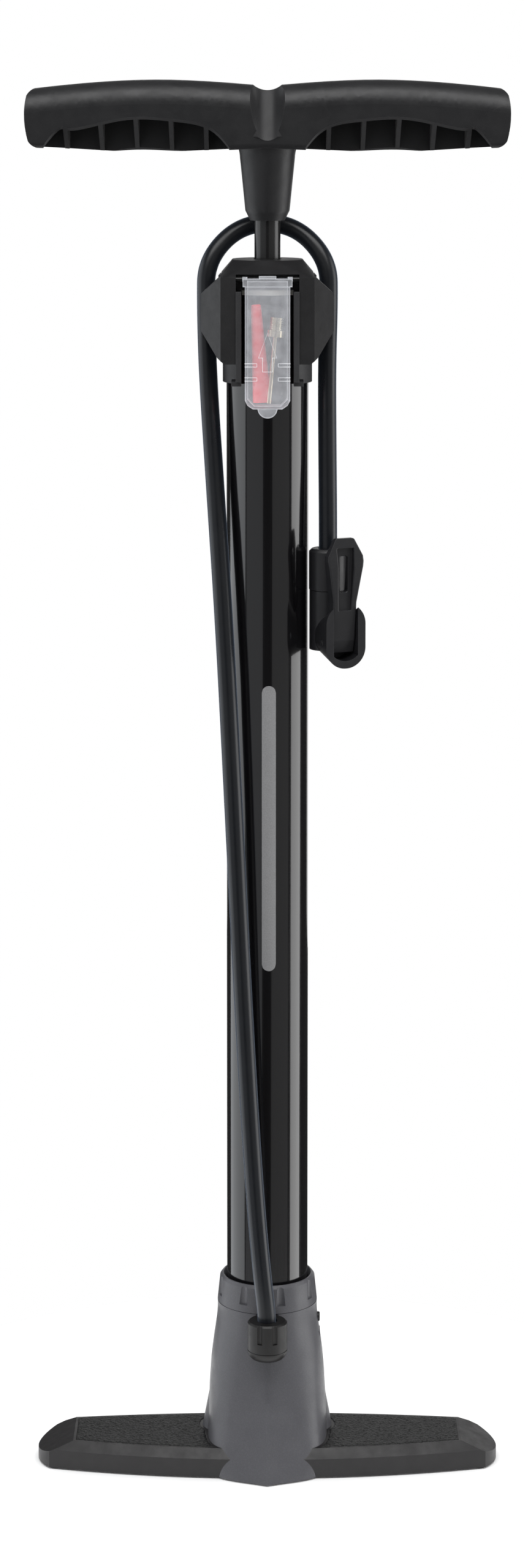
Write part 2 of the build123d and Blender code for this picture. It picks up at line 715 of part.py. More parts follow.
with BuildPart() as case_holder:
    # clip ring round the barrel, open at the front between the rails
    with BuildSketch(Plane.XY.offset(HOLDER_BOTTOM_Z)):
        Circle(BARREL_R + 1.6)
        Circle(BARREL_R, mode=Mode.SUBTRACT)
        with Locations((0, -30)):
            Rectangle(2 * RAIL_INNER_X, 40, mode=Mode.SUBTRACT)
    extrude(amount=HOLDER_RING_TOP_Z - HOLDER_BOTTOM_Z)
    for side in (-1, 1):
        # rail, with its foot
        with BuildSketch(Plane.XY.offset(RAIL_BOTTOM_Z)):
            with Locations((side * (RAIL_INNER_X + RAIL_OUTER_X) / 2, (RAIL_FRONT_Y - 15.2) / 2)):
                Rectangle(RAIL_OUTER_X - RAIL_INNER_X, -15.2 - RAIL_FRONT_Y)
        extrude(amount=RAIL_TOP_Z - RAIL_BOTTOM_Z)
        with BuildSketch(Plane.XY.offset(HOLDER_BOTTOM_Z)):
            with Locations((side * (RAIL_INNER_X + 16.4) / 2, -21.5)):
                Rectangle(16.4 - RAIL_INNER_X, 14.5)
        extrude(amount=RAIL_BOTTOM_Z - HOLDER_BOTTOM_Z)
    with BuildSketch(Plane.XY.offset(HOLDER_BOTTOM_Z - 1)):
        Circle(BARREL_R)
    extrude(amount=60, mode=Mode.SUBTRACT)
case_holder.part.label = "case_holder"
export_step(case_holder.part, "parts/case_holder.step")

# ---------------------------------------------------------------- accessory case and contents
CASE_WALL = 1.1
CASE_CORNER_R = 2.5
FLANGE_HALF_WIDTH = 11.2
FLANGE_BOTTOM_Z = 556.8

with BuildPart() as accessory_case:
    with BuildSketch(Plane.XZ.offset(-CASE_FRONT_Y)):
        with BuildLine():
            Polyline(
                (-CASE_HALF_WIDTH, CASE_TOP_Z),
                (-CASE_HALF_WIDTH, CASE_BOTTOM_Z + 3.8),
                (-CASE_HALF_WIDTH + 1.2, CASE_BOTTOM_Z + 1.6),
                (-CASE_HALF_WIDTH + 3.6, CASE_BOTTOM_Z),
                (CASE_HALF_WIDTH - 3.6, CASE_BOTTOM_Z),
                (CASE_HALF_WIDTH - 1.2, CASE_BOTTOM_Z + 1.6),
                (CASE_HALF_WIDTH, CASE_BOTTOM_Z + 3.8),
                (CASE_HALF_WIDTH, CASE_TOP_Z),
                close=True,
            )
        make_face()
    extrude(amount=CASE_FRONT_Y - CASE_BACK_Y)
    fillet(accessory_case.edges().filter_by(Axis.Z).group_by(Axis.Y)[0], CASE_CORNER_R)
    # thumb tab at the lower front edge
    with BuildSketch(Plane.XZ.offset(-CASE_FRONT_Y)):
        with Locations((0, CASE_BOTTOM_Z + 0.4)):
            Circle(4.5)
    extrude(amount=-1.6)
    # rim with ears, and the lip over the brow
    with BuildSketch(Plane.XY.offset(FLANGE_BOTTOM_Z)):
        with Locations((0, (CASE_FRONT_Y - 0.6 + CASE_BACK_Y) / 2)):
            RectangleRounded(2 * FLANGE_HALF_WIDTH, CASE_BACK_Y - CASE_FRONT_Y + 0.6, 0.9)
    extrude(amount=CASE_TOP_Z - FLANGE_BOTTOM_Z)
    with BuildSketch(Plane.XY.offset(CASE_TOP_Z)):
        with Locations((0, CASE_FRONT_Y + 0.2)):
            Rectangle(7.8, 1.4)
    extrude(amount=1.4)
    # hollow, open towards the barrel
    with BuildSketch(Plane.XZ.offset(-CASE_FRONT_Y - CASE_WALL)):
        with BuildLine():
            Polyline(
                (CASE_WALL - CASE_HALF_WIDTH, CASE_TOP_Z - CASE_WALL),
                (CASE_WALL - CASE_HALF_WIDTH, CASE_BOTTOM_Z + 4.2),
                (-CASE_HALF_WIDTH + 4.2, CASE_BOTTOM_Z + CASE_WALL),
                (CASE_HALF_WIDTH - 4.2, CASE_BOTTOM_Z + CASE_WALL),
                (CASE_HALF_WIDTH - CASE_WALL, CASE_BOTTOM_Z + 4.2),
                (CASE_HALF_WIDTH - CASE_WALL, CASE_TOP_Z - CASE_WALL),
                close=True,
            )
        make_face()
    extrude(amount=-30, mode=Mode.SUBTRACT)
    inner_front = CASE_FRONT_Y + CASE_WALL
    upright_edges = accessory_case.edges().filter_by(Axis.Z)
    inner_corners = upright_edges.filter_by_position(Axis.Y, inner_front - 0.1, inner_front + 0.1)
    fillet(inner_corners, CASE_CORNER_R - CASE_WALL)
    # hinge pins
    for side in (-1, 1):
        with BuildSketch(Plane.YZ.offset(side * (CASE_HALF_WIDTH - CASE_WALL))):
            with Locations((CASE_HINGE_Y, CASE_HINGE_Z)):
                Circle(HINGE_PIN_R)
        extrude(amount=side * (HINGE_PIN_END_X - CASE_HALF_WIDTH + CASE_WALL))
accessory_case.part.label = "accessory_case"
export_step(accessory_case.part, "parts/accessory_case.step")

CONE_BASE = Vector(-2.4, -25.8, 504.0)
CONE_DIRECTION = Vector(-2.9, 0.0, 44.5)
CONE_LENGTH = 44.5
CONE_BASE_R = 4.25
CONE_TIP_R = 2.3
CONE_TIP_ROUND = 1.0
CONE_BORE_R = 0.9

with BuildPart() as inflation_cone:
    with BuildSketch(Plane(origin=CONE_BASE, z_dir=CONE_DIRECTION)):
        Circle(CONE_BASE_R)
    with BuildSketch(Plane(origin=CONE_BASE, z_dir=CONE_DIRECTION).offset(CONE_LENGTH)):
        Circle(CONE_TIP_R)
    loft()
    fillet(inflation_cone.edges().group_by(Axis.Z)[-1], CONE_TIP_ROUND)
    with BuildSketch(Plane(origin=CONE_BASE, z_dir=CONE_DIRECTION)):
        Circle(CONE_BORE_R)
    extrude(amount=CONE_LENGTH + 1, mode=Mode.SUBTRACT)
inflation_cone.part.label = "inflation_cone"
export_step(inflation_cone.part, "parts/inflation_cone.step")

NEEDLE_TOP = Vector(4.35, -28.9, 542.6)
NEEDLE_DIRECTION = Vector(-3.75, -2.7, -38.6)
NEEDLE_THREAD_R = 3.0
NEEDLE_COLLAR_R = 3.7
NEEDLE_PIN_R = 0.95

with BuildPart() as ball_needle:
    needle_plane = Plane(origin=NEEDLE_TOP, z_dir=NEEDLE_DIRECTION)
    with BuildSketch(needle_plane):
        Circle(NEEDLE_THREAD_R - 0.4)
    extrude(amount=5.8)
    for turn in range(6):
        with BuildSketch(needle_plane.offset(0.25 + turn * 0.9)):
            Circle(NEEDLE_THREAD_R)
        extrude(amount=0.5)
    with BuildSketch(needle_plane.offset(5.8)):
        Circle(NEEDLE_COLLAR_R)
    extrude(amount=3.0)
    with BuildSketch(needle_plane.offset(8.8)):
        Circle(NEEDLE_PIN_R)
    extrude(amount=30.2)
ball_needle.part.label = "ball_needle"
export_step(ball_needle.part, "parts/ball_needle.step")

# ---------------------------------------------------------------- pump head
NUT_R = 8.8
NUT_BOTTOM_Z = 415.2
NUT_TOP_Z = 434.5
BARB_FLANGE_Z = 412.0
BARB_FLANGE_TOP_Z = 419.0
NECK_R = 8.6
NECK_BOTTOM_Z = 387.5
CHUCK_R = 7.0
HEAD_FRONT_REACH = 19.7
HEAD_BACK_REACH = 2.5
POCKET_HALF_WIDTH = 6.1
POCKET_BACK = 8.0
POCKET_SIDE_Z = PIVOT_Z - 5.6
POCKET_BOTTOM_Z = PIVOT_Z - 8.0
GASKET_R = 6.0
GASKET_HOLE_R = 4.0
GASKET_FRONT = 3.0
PLUNGER_R = 4.4
LEVER_PIN_R = 1.6

with BuildPart() as head_body:
    with BuildSketch(head_facing(HEAD_FRONT_REACH, 396.0)):
        RectangleRounded(19.8, 30.0, 9.6)
    with BuildSketch(head_facing(-HEAD_BACK_REACH, VALVE_Z)):
        RectangleRounded(14.6, 14.6, 7.1)
    loft()
    # neck up to the hose nut
    with BuildSketch(head_level(NECK_BOTTOM_Z)):
        Circle(NECK_R)
    extrude(amount=NUT_BOTTOM_Z - 0.2 - NECK_BOTTOM_Z)
    with BuildSketch(head_facing(-HEAD_BACK_REACH, VALVE_Z)):
        Circle(CHUCK_R)
    extrude(amount=-20, mode=Mode.SUBTRACT)
    # room in front for the lever, open at the front and the top
    with BuildSketch(head_facing(POCKET_BACK)):
        with BuildLine():
            Polyline(
                (POCKET_HALF_WIDTH, POCKET_SIDE_Z),
                (POCKET_HALF_WIDTH, 430),
                (-POCKET_HALF_WIDTH, 430),
                (-POCKET_HALF_WIDTH, POCKET_SIDE_Z),
            )
            ThreePointArc(
                (-POCKET_HALF_WIDTH, POCKET_SIDE_Z),
                (0, POCKET_BOTTOM_Z),
                (POCKET_HALF_WIDTH, POCKET_SIDE_Z),
            )
        make_face()
    extrude(amount=30, mode=Mode.SUBTRACT)
    # bores of the plunger and the gasket
    with BuildSketch(head_facing(0, VALVE_Z)):
        Circle(PLUNGER_R + FIT)
    extrude(amount=20, mode=Mode.SUBTRACT)
    with BuildSketch(head_facing(GASKET_FRONT, VALVE_Z)):
        Circle(GASKET_R)
    extrude(amount=-20, mode=Mode.SUBTRACT)
    # airway from the neck, and the pin hole
    with BuildSketch(head_level(410)):
        Circle(5.5)
    extrude(amount=10, mode=Mode.SUBTRACT)
    with BuildSketch(head_level(396)):
        with Locations((0, -4.4)):
            Circle(1.2)
    extrude(amount=20, mode=Mode.SUBTRACT)
    with BuildSketch(head_side(-12)):
        with Locations((-PIVOT_FORWARD, PIVOT_Z)):
            Circle(LEVER_PIN_R)
    extrude(amount=24, mode=Mode.SUBTRACT)
head_body.part.label = "head_body"
export_step(head_body.part, "parts/head_body.step")

with BuildPart() as chuck_cap:
    with BuildSketch(head_facing(-HEAD_BACK_REACH, VALVE_Z)):
        Circle(CHUCK_R)
        Circle(GASKET_HOLE_R + 0.2, mode=Mode.SUBTRACT)
    extrude(amount=-2.0)
    chamfer(chuck_cap.faces().sort_by(Axis.Y)[-1].edges().sort_by(SortBy.LENGTH)[-1], 0.6)
chuck_cap.part.label = "chuck_cap"
export_step(chuck_cap.part, "parts/chuck_cap.step")

with BuildPart() as valve_gasket:
    with BuildSketch(head_facing(-HEAD_BACK_REACH, VALVE_Z)):
        Circle(GASKET_R)
        Circle(GASKET_HOLE_R, mode=Mode.SUBTRACT)
    extrude(amount=HEAD_BACK_REACH + GASKET_FRONT)
valve_gasket.part.label = "valve_gasket"
export_step(valve_gasket.part, "parts/valve_gasket.step")

PLUNGER_BACK = 5.4
PLUNGER_FRONT = 9.65

with BuildPart() as lock_plunger:
    with BuildSketch(head_facing(PLUNGER_BACK, VALVE_Z)):
        Circle(PLUNGER_R)
    extrude(amount=PLUNGER_FRONT - PLUNGER_BACK)
    with BuildSketch(head_facing(PLUNGER_BACK, VALVE_Z)):
        Circle(2.0)
    extrude(amount=1.5, mode=Mode.SUBTRACT)
lock_plunger.part.label = "lock_plunger"
export_step(lock_plunger.part, "parts/lock_plunger.step")

with BuildPart() as head_nut:
    with BuildSketch(head_level(NUT_BOTTOM_Z)):
        Circle(NUT_R)
    extrude(amount=NUT_TOP_Z - NUT_BOTTOM_Z)
    chamfer(head_nut.edges().group_by(Axis.Z)[-1], 1.4)
    with BuildSketch(head_level(NUT_BOTTOM_Z)):
        Circle(BARB_R + 1.4)
    extrude(amount=5, mode=Mode.SUBTRACT)
    with BuildSketch(head_level(NUT_BOTTOM_Z)):
        Circle(HOSE_SOCKET_R)
    extrude(amount=30, mode=Mode.SUBTRACT)
head_nut.part.label = "head_nut"
export_step(head_nut.part, "parts/head_nut.step")

with BuildPart() as head_barb:
    with BuildSketch(head_level(BARB_FLANGE_Z)):
        Circle(BARB_R + 1.2)
    extrude(amount=BARB_FLANGE_TOP_Z - BARB_FLANGE_Z)
    with BuildSketch(head_level(BARB_FLANGE_TOP_Z)):
        Circle(BARB_R)
    extrude(amount=HOSE_HEAD_Z - BARB_FLANGE_TOP_Z)
    with BuildSketch(head_level(BARB_FLANGE_Z)):
        Circle(AIRWAY_R)
    extrude(amount=20, mode=Mode.SUBTRACT)
head_barb.part.label = "head_barb"
export_step(head_barb.part, "parts/head_barb.step")

with BuildPart() as lever_pin:
    with BuildSketch(head_side(-9.0)):
        with Locations((-PIVOT_FORWARD, PIVOT_Z)):
            Circle(LEVER_PIN_R)
    extrude(amount=18.0)
    chamfer(lever_pin.edges().filter_by(GeomType.CIRCLE), 0.3)
lever_pin.part.label = "lever_pin"
export_step(lever_pin.part, "parts/lever_pin.step")

# The lever lies up against the hose nut; its outline from the side, then from the front.
LEVER_ROOT_HALF_WIDTH = 5.8
LEVER_BOTTOM_Z = PIVOT_Z - 4.6
LEVER_TOP_Z = 441.0
LEVER_SLOT_WIDTH = 3.8
LEVER_SLOT_HEIGHT = 16.6

with BuildPart() as head_lever:
    with BuildSketch(head_side(-10)):
        with BuildLine():
            root_back = PIVOT_FORWARD - 2.6
            Polyline(
                (-root_back - 2, LEVER_BOTTOM_Z),
                (-15.4, LEVER_BOTTOM_Z),
                (-17.0, PIVOT_Z + 1.0),
                (-18.6, 409.0),
                (-20.2, 428.0),
                (-18.4, LEVER_TOP_Z),
                (-15.6, LEVER_TOP_Z),
                (-14.8, 428.0),
                (-12.6, 412.0),
                (-root_back, 402.0),
                (-root_back, LEVER_BOTTOM_Z + 2),
            )
            RadiusArc((-root_back, LEVER_BOTTOM_Z + 2), (-root_back - 2, LEVER_BOTTOM_Z), 2)
        make_face()
    extrude(amount=20)
    with BuildSketch(head_facing(0)):
        with BuildLine():
            Polyline(
                (LEVER_ROOT_HALF_WIDTH, LEVER_BOTTOM_Z - 1),
                (LEVER_ROOT_HALF_WIDTH, 411.5),
                (8.9, 430.5),
                (8.7, 433.0),
                (4.6, LEVER_TOP_Z),
                (-4.6, LEVER_TOP_Z),
                (-8.7, 433.0),
                (-8.9, 430.5),
                (-LEVER_ROOT_HALF_WIDTH, 411.5),
                (-LEVER_ROOT_HALF_WIDTH, LEVER_BOTTOM_Z - 1),
                close=True,
            )
        make_face()
    extrude(amount=40, mode=Mode.INTERSECT)
    # trough along the front, with a slot through it
    with BuildSketch(head_facing(17.2)):
        with BuildLine():
            Polyline(
                (3.0, 407.5),
                (4.2, 436.6),
                (-4.2, 436.6),
                (-3.0, 407.5),
                close=True,
            )
        make_face()
    extrude(amount=10, mode=Mode.SUBTRACT)
    with BuildSketch(head_facing(5, 424.4)):
        RectangleRounded(LEVER_SLOT_WIDTH, LEVER_SLOT_HEIGHT, 1.0)
    extrude(amount=20, mode=Mode.SUBTRACT)
    # hole for the pin
    with BuildSketch(head_side(-12)):
        with Locations((-PIVOT_FORWARD, PIVOT_Z)):
            Circle(LEVER_PIN_R + FIT)
    extrude(amount=24, mode=Mode.SUBTRACT)
head_lever.part.label = "head_lever"
export_step(head_lever.part, "parts/head_lever.step")

# ---------------------------------------------------------------- piston
PISTON_BOTTOM_Z = 73.5
PISTON_R = 17.2
SEAL_BOTTOM_Z = 77.0
SEAL_TOP_Z = 83.5
SEAL_CORE_R = 13.5
PISTON_TOP_Z = 87.0
HUB_TOP_Z = 97.0
HUB_R = 9.0
NUT_RECESS_R = 6.4
NUT_RECESS_Z = 78.4
STUD_R = 3.0

with BuildPart() as piston_body:
    with BuildSketch(Plane.XZ):
        with BuildLine():
            Polyline(
                (STUD_R, NUT_RECESS_Z),
                (NUT_RECESS_R, NUT_RECESS_Z),
                (NUT_RECESS_R, PISTON_BOTTOM_Z),
                (PISTON_R, PISTON_BOTTOM_Z),
                (PISTON_R, SEAL_BOTTOM_Z),
                (SEAL_CORE_R, SEAL_BOTTOM_Z),
                (SEAL_CORE_R, SEAL_TOP_Z),
                (PISTON_R, SEAL_TOP_Z),
                (PISTON_R, PISTON_TOP_Z),
                (HUB_R, PISTON_TOP_Z),
                (HUB_R, HUB_TOP_Z),
                (ROD_R, HUB_TOP_Z),
                (ROD_R, ROD_BOTTOM_Z),
                (STUD_R, ROD_BOTTOM_Z),
                close=True,
            )
        make_face()
    revolve(axis=Axis.Z)
piston_body.part.label = "piston_body"
export_step(piston_body.part, "parts/piston_body.step")

with BuildPart() as piston_seal:
    with BuildSketch(Plane.XZ):
        with BuildLine():
            Polyline(
                (SEAL_CORE_R + FIT, SEAL_BOTTOM_Z + GAP),
                (SEAL_CORE_R + 1.1, SEAL_BOTTOM_Z + GAP),
                ((SEAL_CORE_R + BARREL_BORE_R) / 2, SEAL_BOTTOM_Z + 2.6),
                (BARREL_BORE_R - 1.1, SEAL_BOTTOM_Z + GAP),
                (BARREL_BORE_R - FIT, SEAL_BOTTOM_Z + GAP),
                (BARREL_BORE_R - FIT, SEAL_TOP_Z - GAP),
                (SEAL_CORE_R + FIT, SEAL_TOP_Z - GAP),
                close=True,
            )
        make_face()
    revolve(axis=Axis.Z)
piston_seal.part.label = "piston_seal"
export_step(piston_seal.part, "parts/piston_seal.step")

STUD_TOP_Z = 106.0

with BuildPart() as rod_stud:
    with BuildSketch(Plane.XY.offset(PISTON_BOTTOM_Z + 0.4)):
        Circle(STUD_R)
    extrude(amount=ROD_BOTTOM_Z - PISTON_BOTTOM_Z - 0.4)
    with BuildSketch(Plane.XY.offset(ROD_BOTTOM_Z)):
        Circle(ROD_BORE_R)
    extrude(amount=STUD_TOP_Z - ROD_BOTTOM_Z)
rod_stud.part.label = "rod_stud"
export_step(rod_stud.part, "parts/rod_stud.step")

with BuildPart() as piston_nut:
    with BuildSketch(Plane.XY.offset(PISTON_BOTTOM_Z + 0.4)):
        RegularPolygon(5.6, 6)
        Circle(STUD_R, mode=Mode.SUBTRACT)
    extrude(amount=NUT_RECESS_Z - PISTON_BOTTOM_Z - 0.4)
piston_nut.part.label = "piston_nut"
export_step(piston_nut.part, "parts/piston_nut.step")

with BuildPart() as stop_bumper:
    with BuildSketch(Plane.XY.offset(HUB_TOP_Z)):
        Circle(11)
        Circle(ROD_R, mode=Mode.SUBTRACT)
    extrude(amount=6)
    chamfer(stop_bumper.faces().sort_by(Axis.Z)[-1].edges().sort_by(SortBy.LENGTH)[-1], 1.0)
stop_bumper.part.label = "stop_bumper"
export_step(stop_bumper.part, "parts/stop_bumper.step")

# ---------------------------------------------------------------- rod
with BuildPart() as rod:
    with BuildSketch(Plane.XY.offset(ROD_BOTTOM_Z)):
        Circle(ROD_R)
        Circle(ROD_BORE_R, mode=Mode.SUBTRACT)
    extrude(amount=ROD_TOP_Z - ROD_BOTTOM_Z)
    with BuildSketch(Plane.XZ):
        with Locations((0, HANDLE_PIN_Z)):
            Circle(2)
    extrude(amount=20, both=True, mode=Mode.SUBTRACT)
rod.part.label = "rod"
export_step(rod.part, "parts/rod.step")

# ---------------------------------------------------------------- handle
HANDLE_END_TOP_Z = 645.6
HANDLE_CREST_Z = 649.8
HANDLE_END_BOTTOM_Z = 619.0
HANDLE_BELLY_Z = 616.6
RIB_SPOTS = (28.0, 44.0, 60.0, 76.0, 92.0)
RIB_THICKNESS = 2.0
SCOOP_FALL = 0.53  # drop of the scooped underside for each millimetre from front to back
HANDLE_PIN_R = 2.0
HANDLE_NECK_BOTTOM_Z = 585.5
HANDLE_MIDDLE_Z = 646.9
HANDLE_MIDDLE_BELLY_Z = 618.5

with BuildPart() as handle_body:
    # bar, as seen from the front
    with BuildSketch(Plane.XZ.offset(-HANDLE_HALF_DEPTH)):
        with BuildLine():
            Spline(
                (0, HANDLE_MIDDLE_Z),
                (50, HANDLE_CREST_Z),
                (HANDLE_HALF_LENGTH - 1.6, HANDLE_END_TOP_Z),
                tangents=[(1, 0.09), (1, -0.12)],
            )
            ThreePointArc(
                (HANDLE_HALF_LENGTH - 1.6, HANDLE_END_TOP_Z),
                (HANDLE_HALF_LENGTH, 632.0),
                (HANDLE_HALF_LENGTH - 2.6, HANDLE_END_BOTTOM_Z),
            )
            Spline(
                (HANDLE_HALF_LENGTH - 2.6, HANDLE_END_BOTTOM_Z),
                (60, HANDLE_BELLY_Z),
                (0, HANDLE_MIDDLE_BELLY_Z),
                tangents=[(-1, -0.03), (-1, 0.02)],
            )
            Line((0, HANDLE_MIDDLE_BELLY_Z), (0, HANDLE_MIDDLE_Z))
        make_face()
        mirror(about=Plane.YZ)
    extrude(amount=2 * HANDLE_HALF_DEPTH)
    crown_edges = handle_body.edges().filter_by(GeomType.BSPLINE)
    fillet(crown_edges.filter_by_position(Axis.Z, 640, 652), 11.0)
    fillet(handle_body.edges().filter_by_position(Axis.Z, 612, 624).filter_by(GeomType.BSPLINE), 2.5)
    # rounded corners of the ends, as seen from the front
    with BuildSketch(Plane.XZ):
        with BuildLine():
            ThreePointArc((103.6, 646.5), (108.5, 644.3), (110.3, 639.0))
            Polyline((110.3, 639.0), (113, 639.0), (113, 653), (103.6, 653), (103.6, 646.5))
        make_face()
        with BuildLine():
            ThreePointArc((109.7, 626.0), (108.0, 620.8), (103.6, 618.7))
            Polyline((103.6, 618.7), (103.6, 612), (113, 612), (113, 626.0), (109.7, 626.0))
        make_face()
        mirror(about=Plane.YZ)
    extrude(amount=30, both=True, mode=Mode.SUBTRACT)
    # scooped underside, higher in front than behind, on each half
    with BuildSketch(Plane.XZ.offset(HANDLE_HALF_DEPTH + 1)):
        with BuildLine():
            scoop_start = (16.0, 618.0)
            scoop_end = (104.0, 618.0)
            Spline(
                scoop_start,
                (26.0, 628.6),
                (43.0, 632.6),
                (67.0, 632.9),
                (91.0, 628.6),
                scoop_end,
                tangents=[(0.75, 1), (0.75, -1)],
            )
            Polyline(scoop_end, (104, 590), (16, 590), scoop_start)
        make_face()
        mirror(about=Plane.YZ)
    extrude(amount=-45, dir=(0, -1, SCOOP_FALL), mode=Mode.SUBTRACT)
    # pockets between the ribs
    for side in (-1, 1):
        for inner, outer in zip((13.5,) + RIB_SPOTS, RIB_SPOTS + (104.0,)):
            low = inner + RIB_THICKNESS / 2
            high = outer - RIB_THICKNESS / 2
            with BuildSketch(Plane.XY.offset(600)):
                with Locations((side * (low + high) / 2, 0)):
                    Rectangle(high - low, 2 * HANDLE_HALF_DEPTH - 5)
            extrude(amount=39.5, mode=Mode.SUBTRACT)
    # neck over the rod
    with BuildSketch(Plane.XZ):
        with BuildLine():
            Polyline(
                (0, 640),
                (0, HANDLE_NECK_BOTTOM_Z),
                (8.0, HANDLE_NECK_BOTTOM_Z),
                (10.2, 590.0),
                (12.6, 614.0),
            )
            ThreePointArc((12.6, 614.0), (13.6, 619.2), (16.4, 624.0))
            Polyline((16.4, 624.0), (13.0, 640), (0, 640))
        make_face()
    revolve(axis=Axis.Z)
    # saddle across the top, running down the front and the back as a groove
    with BuildSketch(Plane.XZ):
        with Locations((0, 655.0)):
            Circle(10.0)
    extrude(amount=30, both=True, mode=Mode.SUBTRACT)
    for facing in (-1, 1):
        with BuildSketch(Plane(origin=(0, facing * 23.6, 623.0), z_dir=(0, -facing * 12.0, 29.0))):
            Circle(8.2)
        extrude(amount=45, mode=Mode.SUBTRACT)
    # bore for the rod and the hole of its cross pin, open at the back only
    with BuildSketch(Plane.XY.offset(580)):
        Circle(ROD_R)
    extrude(amount=ROD_TOP_Z - 580, mode=Mode.SUBTRACT)
    with BuildSketch(Plane.XZ):
        with Locations((0, HANDLE_PIN_Z)):
            Circle(HANDLE_PIN_R)
    extrude(amount=-20, mode=Mode.SUBTRACT)
handle_body.part.label = "handle_body"
export_step(handle_body.part, "parts/handle_body.step")

with BuildPart() as handle_pin:
    with BuildSketch(Plane.XZ.offset(5.4)):
        with Locations((0, HANDLE_PIN_Z)):
            Circle(HANDLE_PIN_R)
    extrude(amount=-16.0)
    chamfer(handle_pin.edges().filter_by(GeomType.CIRCLE), 0.3)
handle_pin.part.label = "handle_pin"
export_step(handle_pin.part, "parts/handle_pin.step")
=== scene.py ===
import math

import bmesh
import bpy
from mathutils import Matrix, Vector, noise
from mathutils.bvhtree import BVHTree


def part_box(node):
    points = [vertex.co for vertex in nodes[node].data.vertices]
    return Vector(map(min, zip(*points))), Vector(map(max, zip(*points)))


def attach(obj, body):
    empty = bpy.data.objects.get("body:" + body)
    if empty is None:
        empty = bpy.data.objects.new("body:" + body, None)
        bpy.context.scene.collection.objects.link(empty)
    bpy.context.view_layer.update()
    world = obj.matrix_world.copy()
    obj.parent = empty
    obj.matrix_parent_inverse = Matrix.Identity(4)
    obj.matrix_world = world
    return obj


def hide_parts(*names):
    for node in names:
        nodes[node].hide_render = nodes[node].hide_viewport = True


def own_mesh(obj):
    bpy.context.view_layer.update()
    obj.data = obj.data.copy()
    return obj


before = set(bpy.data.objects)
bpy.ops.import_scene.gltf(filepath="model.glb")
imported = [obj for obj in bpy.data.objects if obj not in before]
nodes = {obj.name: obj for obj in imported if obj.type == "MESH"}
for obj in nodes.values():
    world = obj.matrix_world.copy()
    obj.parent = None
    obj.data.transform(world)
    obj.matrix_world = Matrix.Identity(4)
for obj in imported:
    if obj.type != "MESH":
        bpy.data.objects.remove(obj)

# Floor pump, in metres, in the frame of the CAD model: +Z up, the front faces -Y.
scene = bpy.context.scene
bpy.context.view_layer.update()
MM = 0.001


# ---------------------------------------------------------------- camera
CAMERA_DISTANCE = 1.655
CAMERA_HEIGHT = 0.654
CAMERA_X = -0.0025
CAMERA_TILT = math.radians(6)
SENSOR_MM = 36
LENS_MM = 82.6
LENS_SHIFT_Y = -0.214


def make_camera():
    data = bpy.data.cameras.new("camera")
    data.sensor_width = SENSOR_MM
    data.lens = LENS_MM
    data.shift_y = LENS_SHIFT_Y
    camera = bpy.data.objects.new("camera", data)
    camera.location = (CAMERA_X, -CAMERA_DISTANCE, CAMERA_HEIGHT)
    camera.rotation_euler = (math.pi / 2 - CAMERA_TILT, 0, 0)
    scene.collection.objects.link(camera)
    scene.camera = camera


make_camera()


# ---------------------------------------------------------------- hose
HOSE_DIAMETER = 0.0085
HOSE_ROUTE = [
    (0.0, -0.031, 0.064),
    (0.0, -0.031, 0.076),
    (-0.0024, -0.0308, 0.096),
    (-0.006, -0.0292, 0.136),
    (-0.0106, -0.0262, 0.212),
    (-0.0156, -0.0226, 0.316),
    (-0.0198, -0.0176, 0.4),
    (-0.0244, -0.0076, 0.468),
    (-0.0276, 0.0026, 0.516),
    (-0.0284, 0.0063, 0.546),
    (-0.0282, 0.009, 0.567),
    (-0.0119, 0.0166, 0.5834),
    (0.0119, 0.0166, 0.5834),
    (0.0282, 0.009, 0.567),
    (0.0284, 0.0062, 0.546),
    (0.0275, 0.003, 0.518),
    (0.0277, -0.0022, 0.48),
    (0.028, -0.006, 0.446),
    (0.028, -0.006, 0.424),
]


def link_piece(name, data, body):
    """A new object of the pump, riding on a body."""
    piece = bpy.data.objects.new(name, data)
    scene.collection.objects.link(piece)
    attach(piece, body)
    return piece


def finished_mesh(name, mesh):
    """The mesh data of a finished bmesh."""
    data = bpy.data.meshes.new(name)
    mesh.to_mesh(data)
    mesh.free()
    return data


def make_hose():
    curve = bpy.data.curves.new("air_hose", "CURVE")
    curve.dimensions = "3D"
    curve.resolution_u = 14
    curve.bevel_depth = 1.0  # times each point's radius
    curve.bevel_resolution = 7
    curve.use_fill_caps = True
    spline = curve.splines.new("NURBS")
    spline.points.add(len(HOSE_ROUTE) - 1)
    for point, place in zip(spline.points, HOSE_ROUTE):
        point.co = (*place, 1)
        point.radius = HOSE_DIAMETER / 2
    spline.order_u = 3
    spline.use_endpoint_u = True
    hose = link_piece("air_hose", curve, "pump")
    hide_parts("hose")
    return hose


air_hose = make_hose()


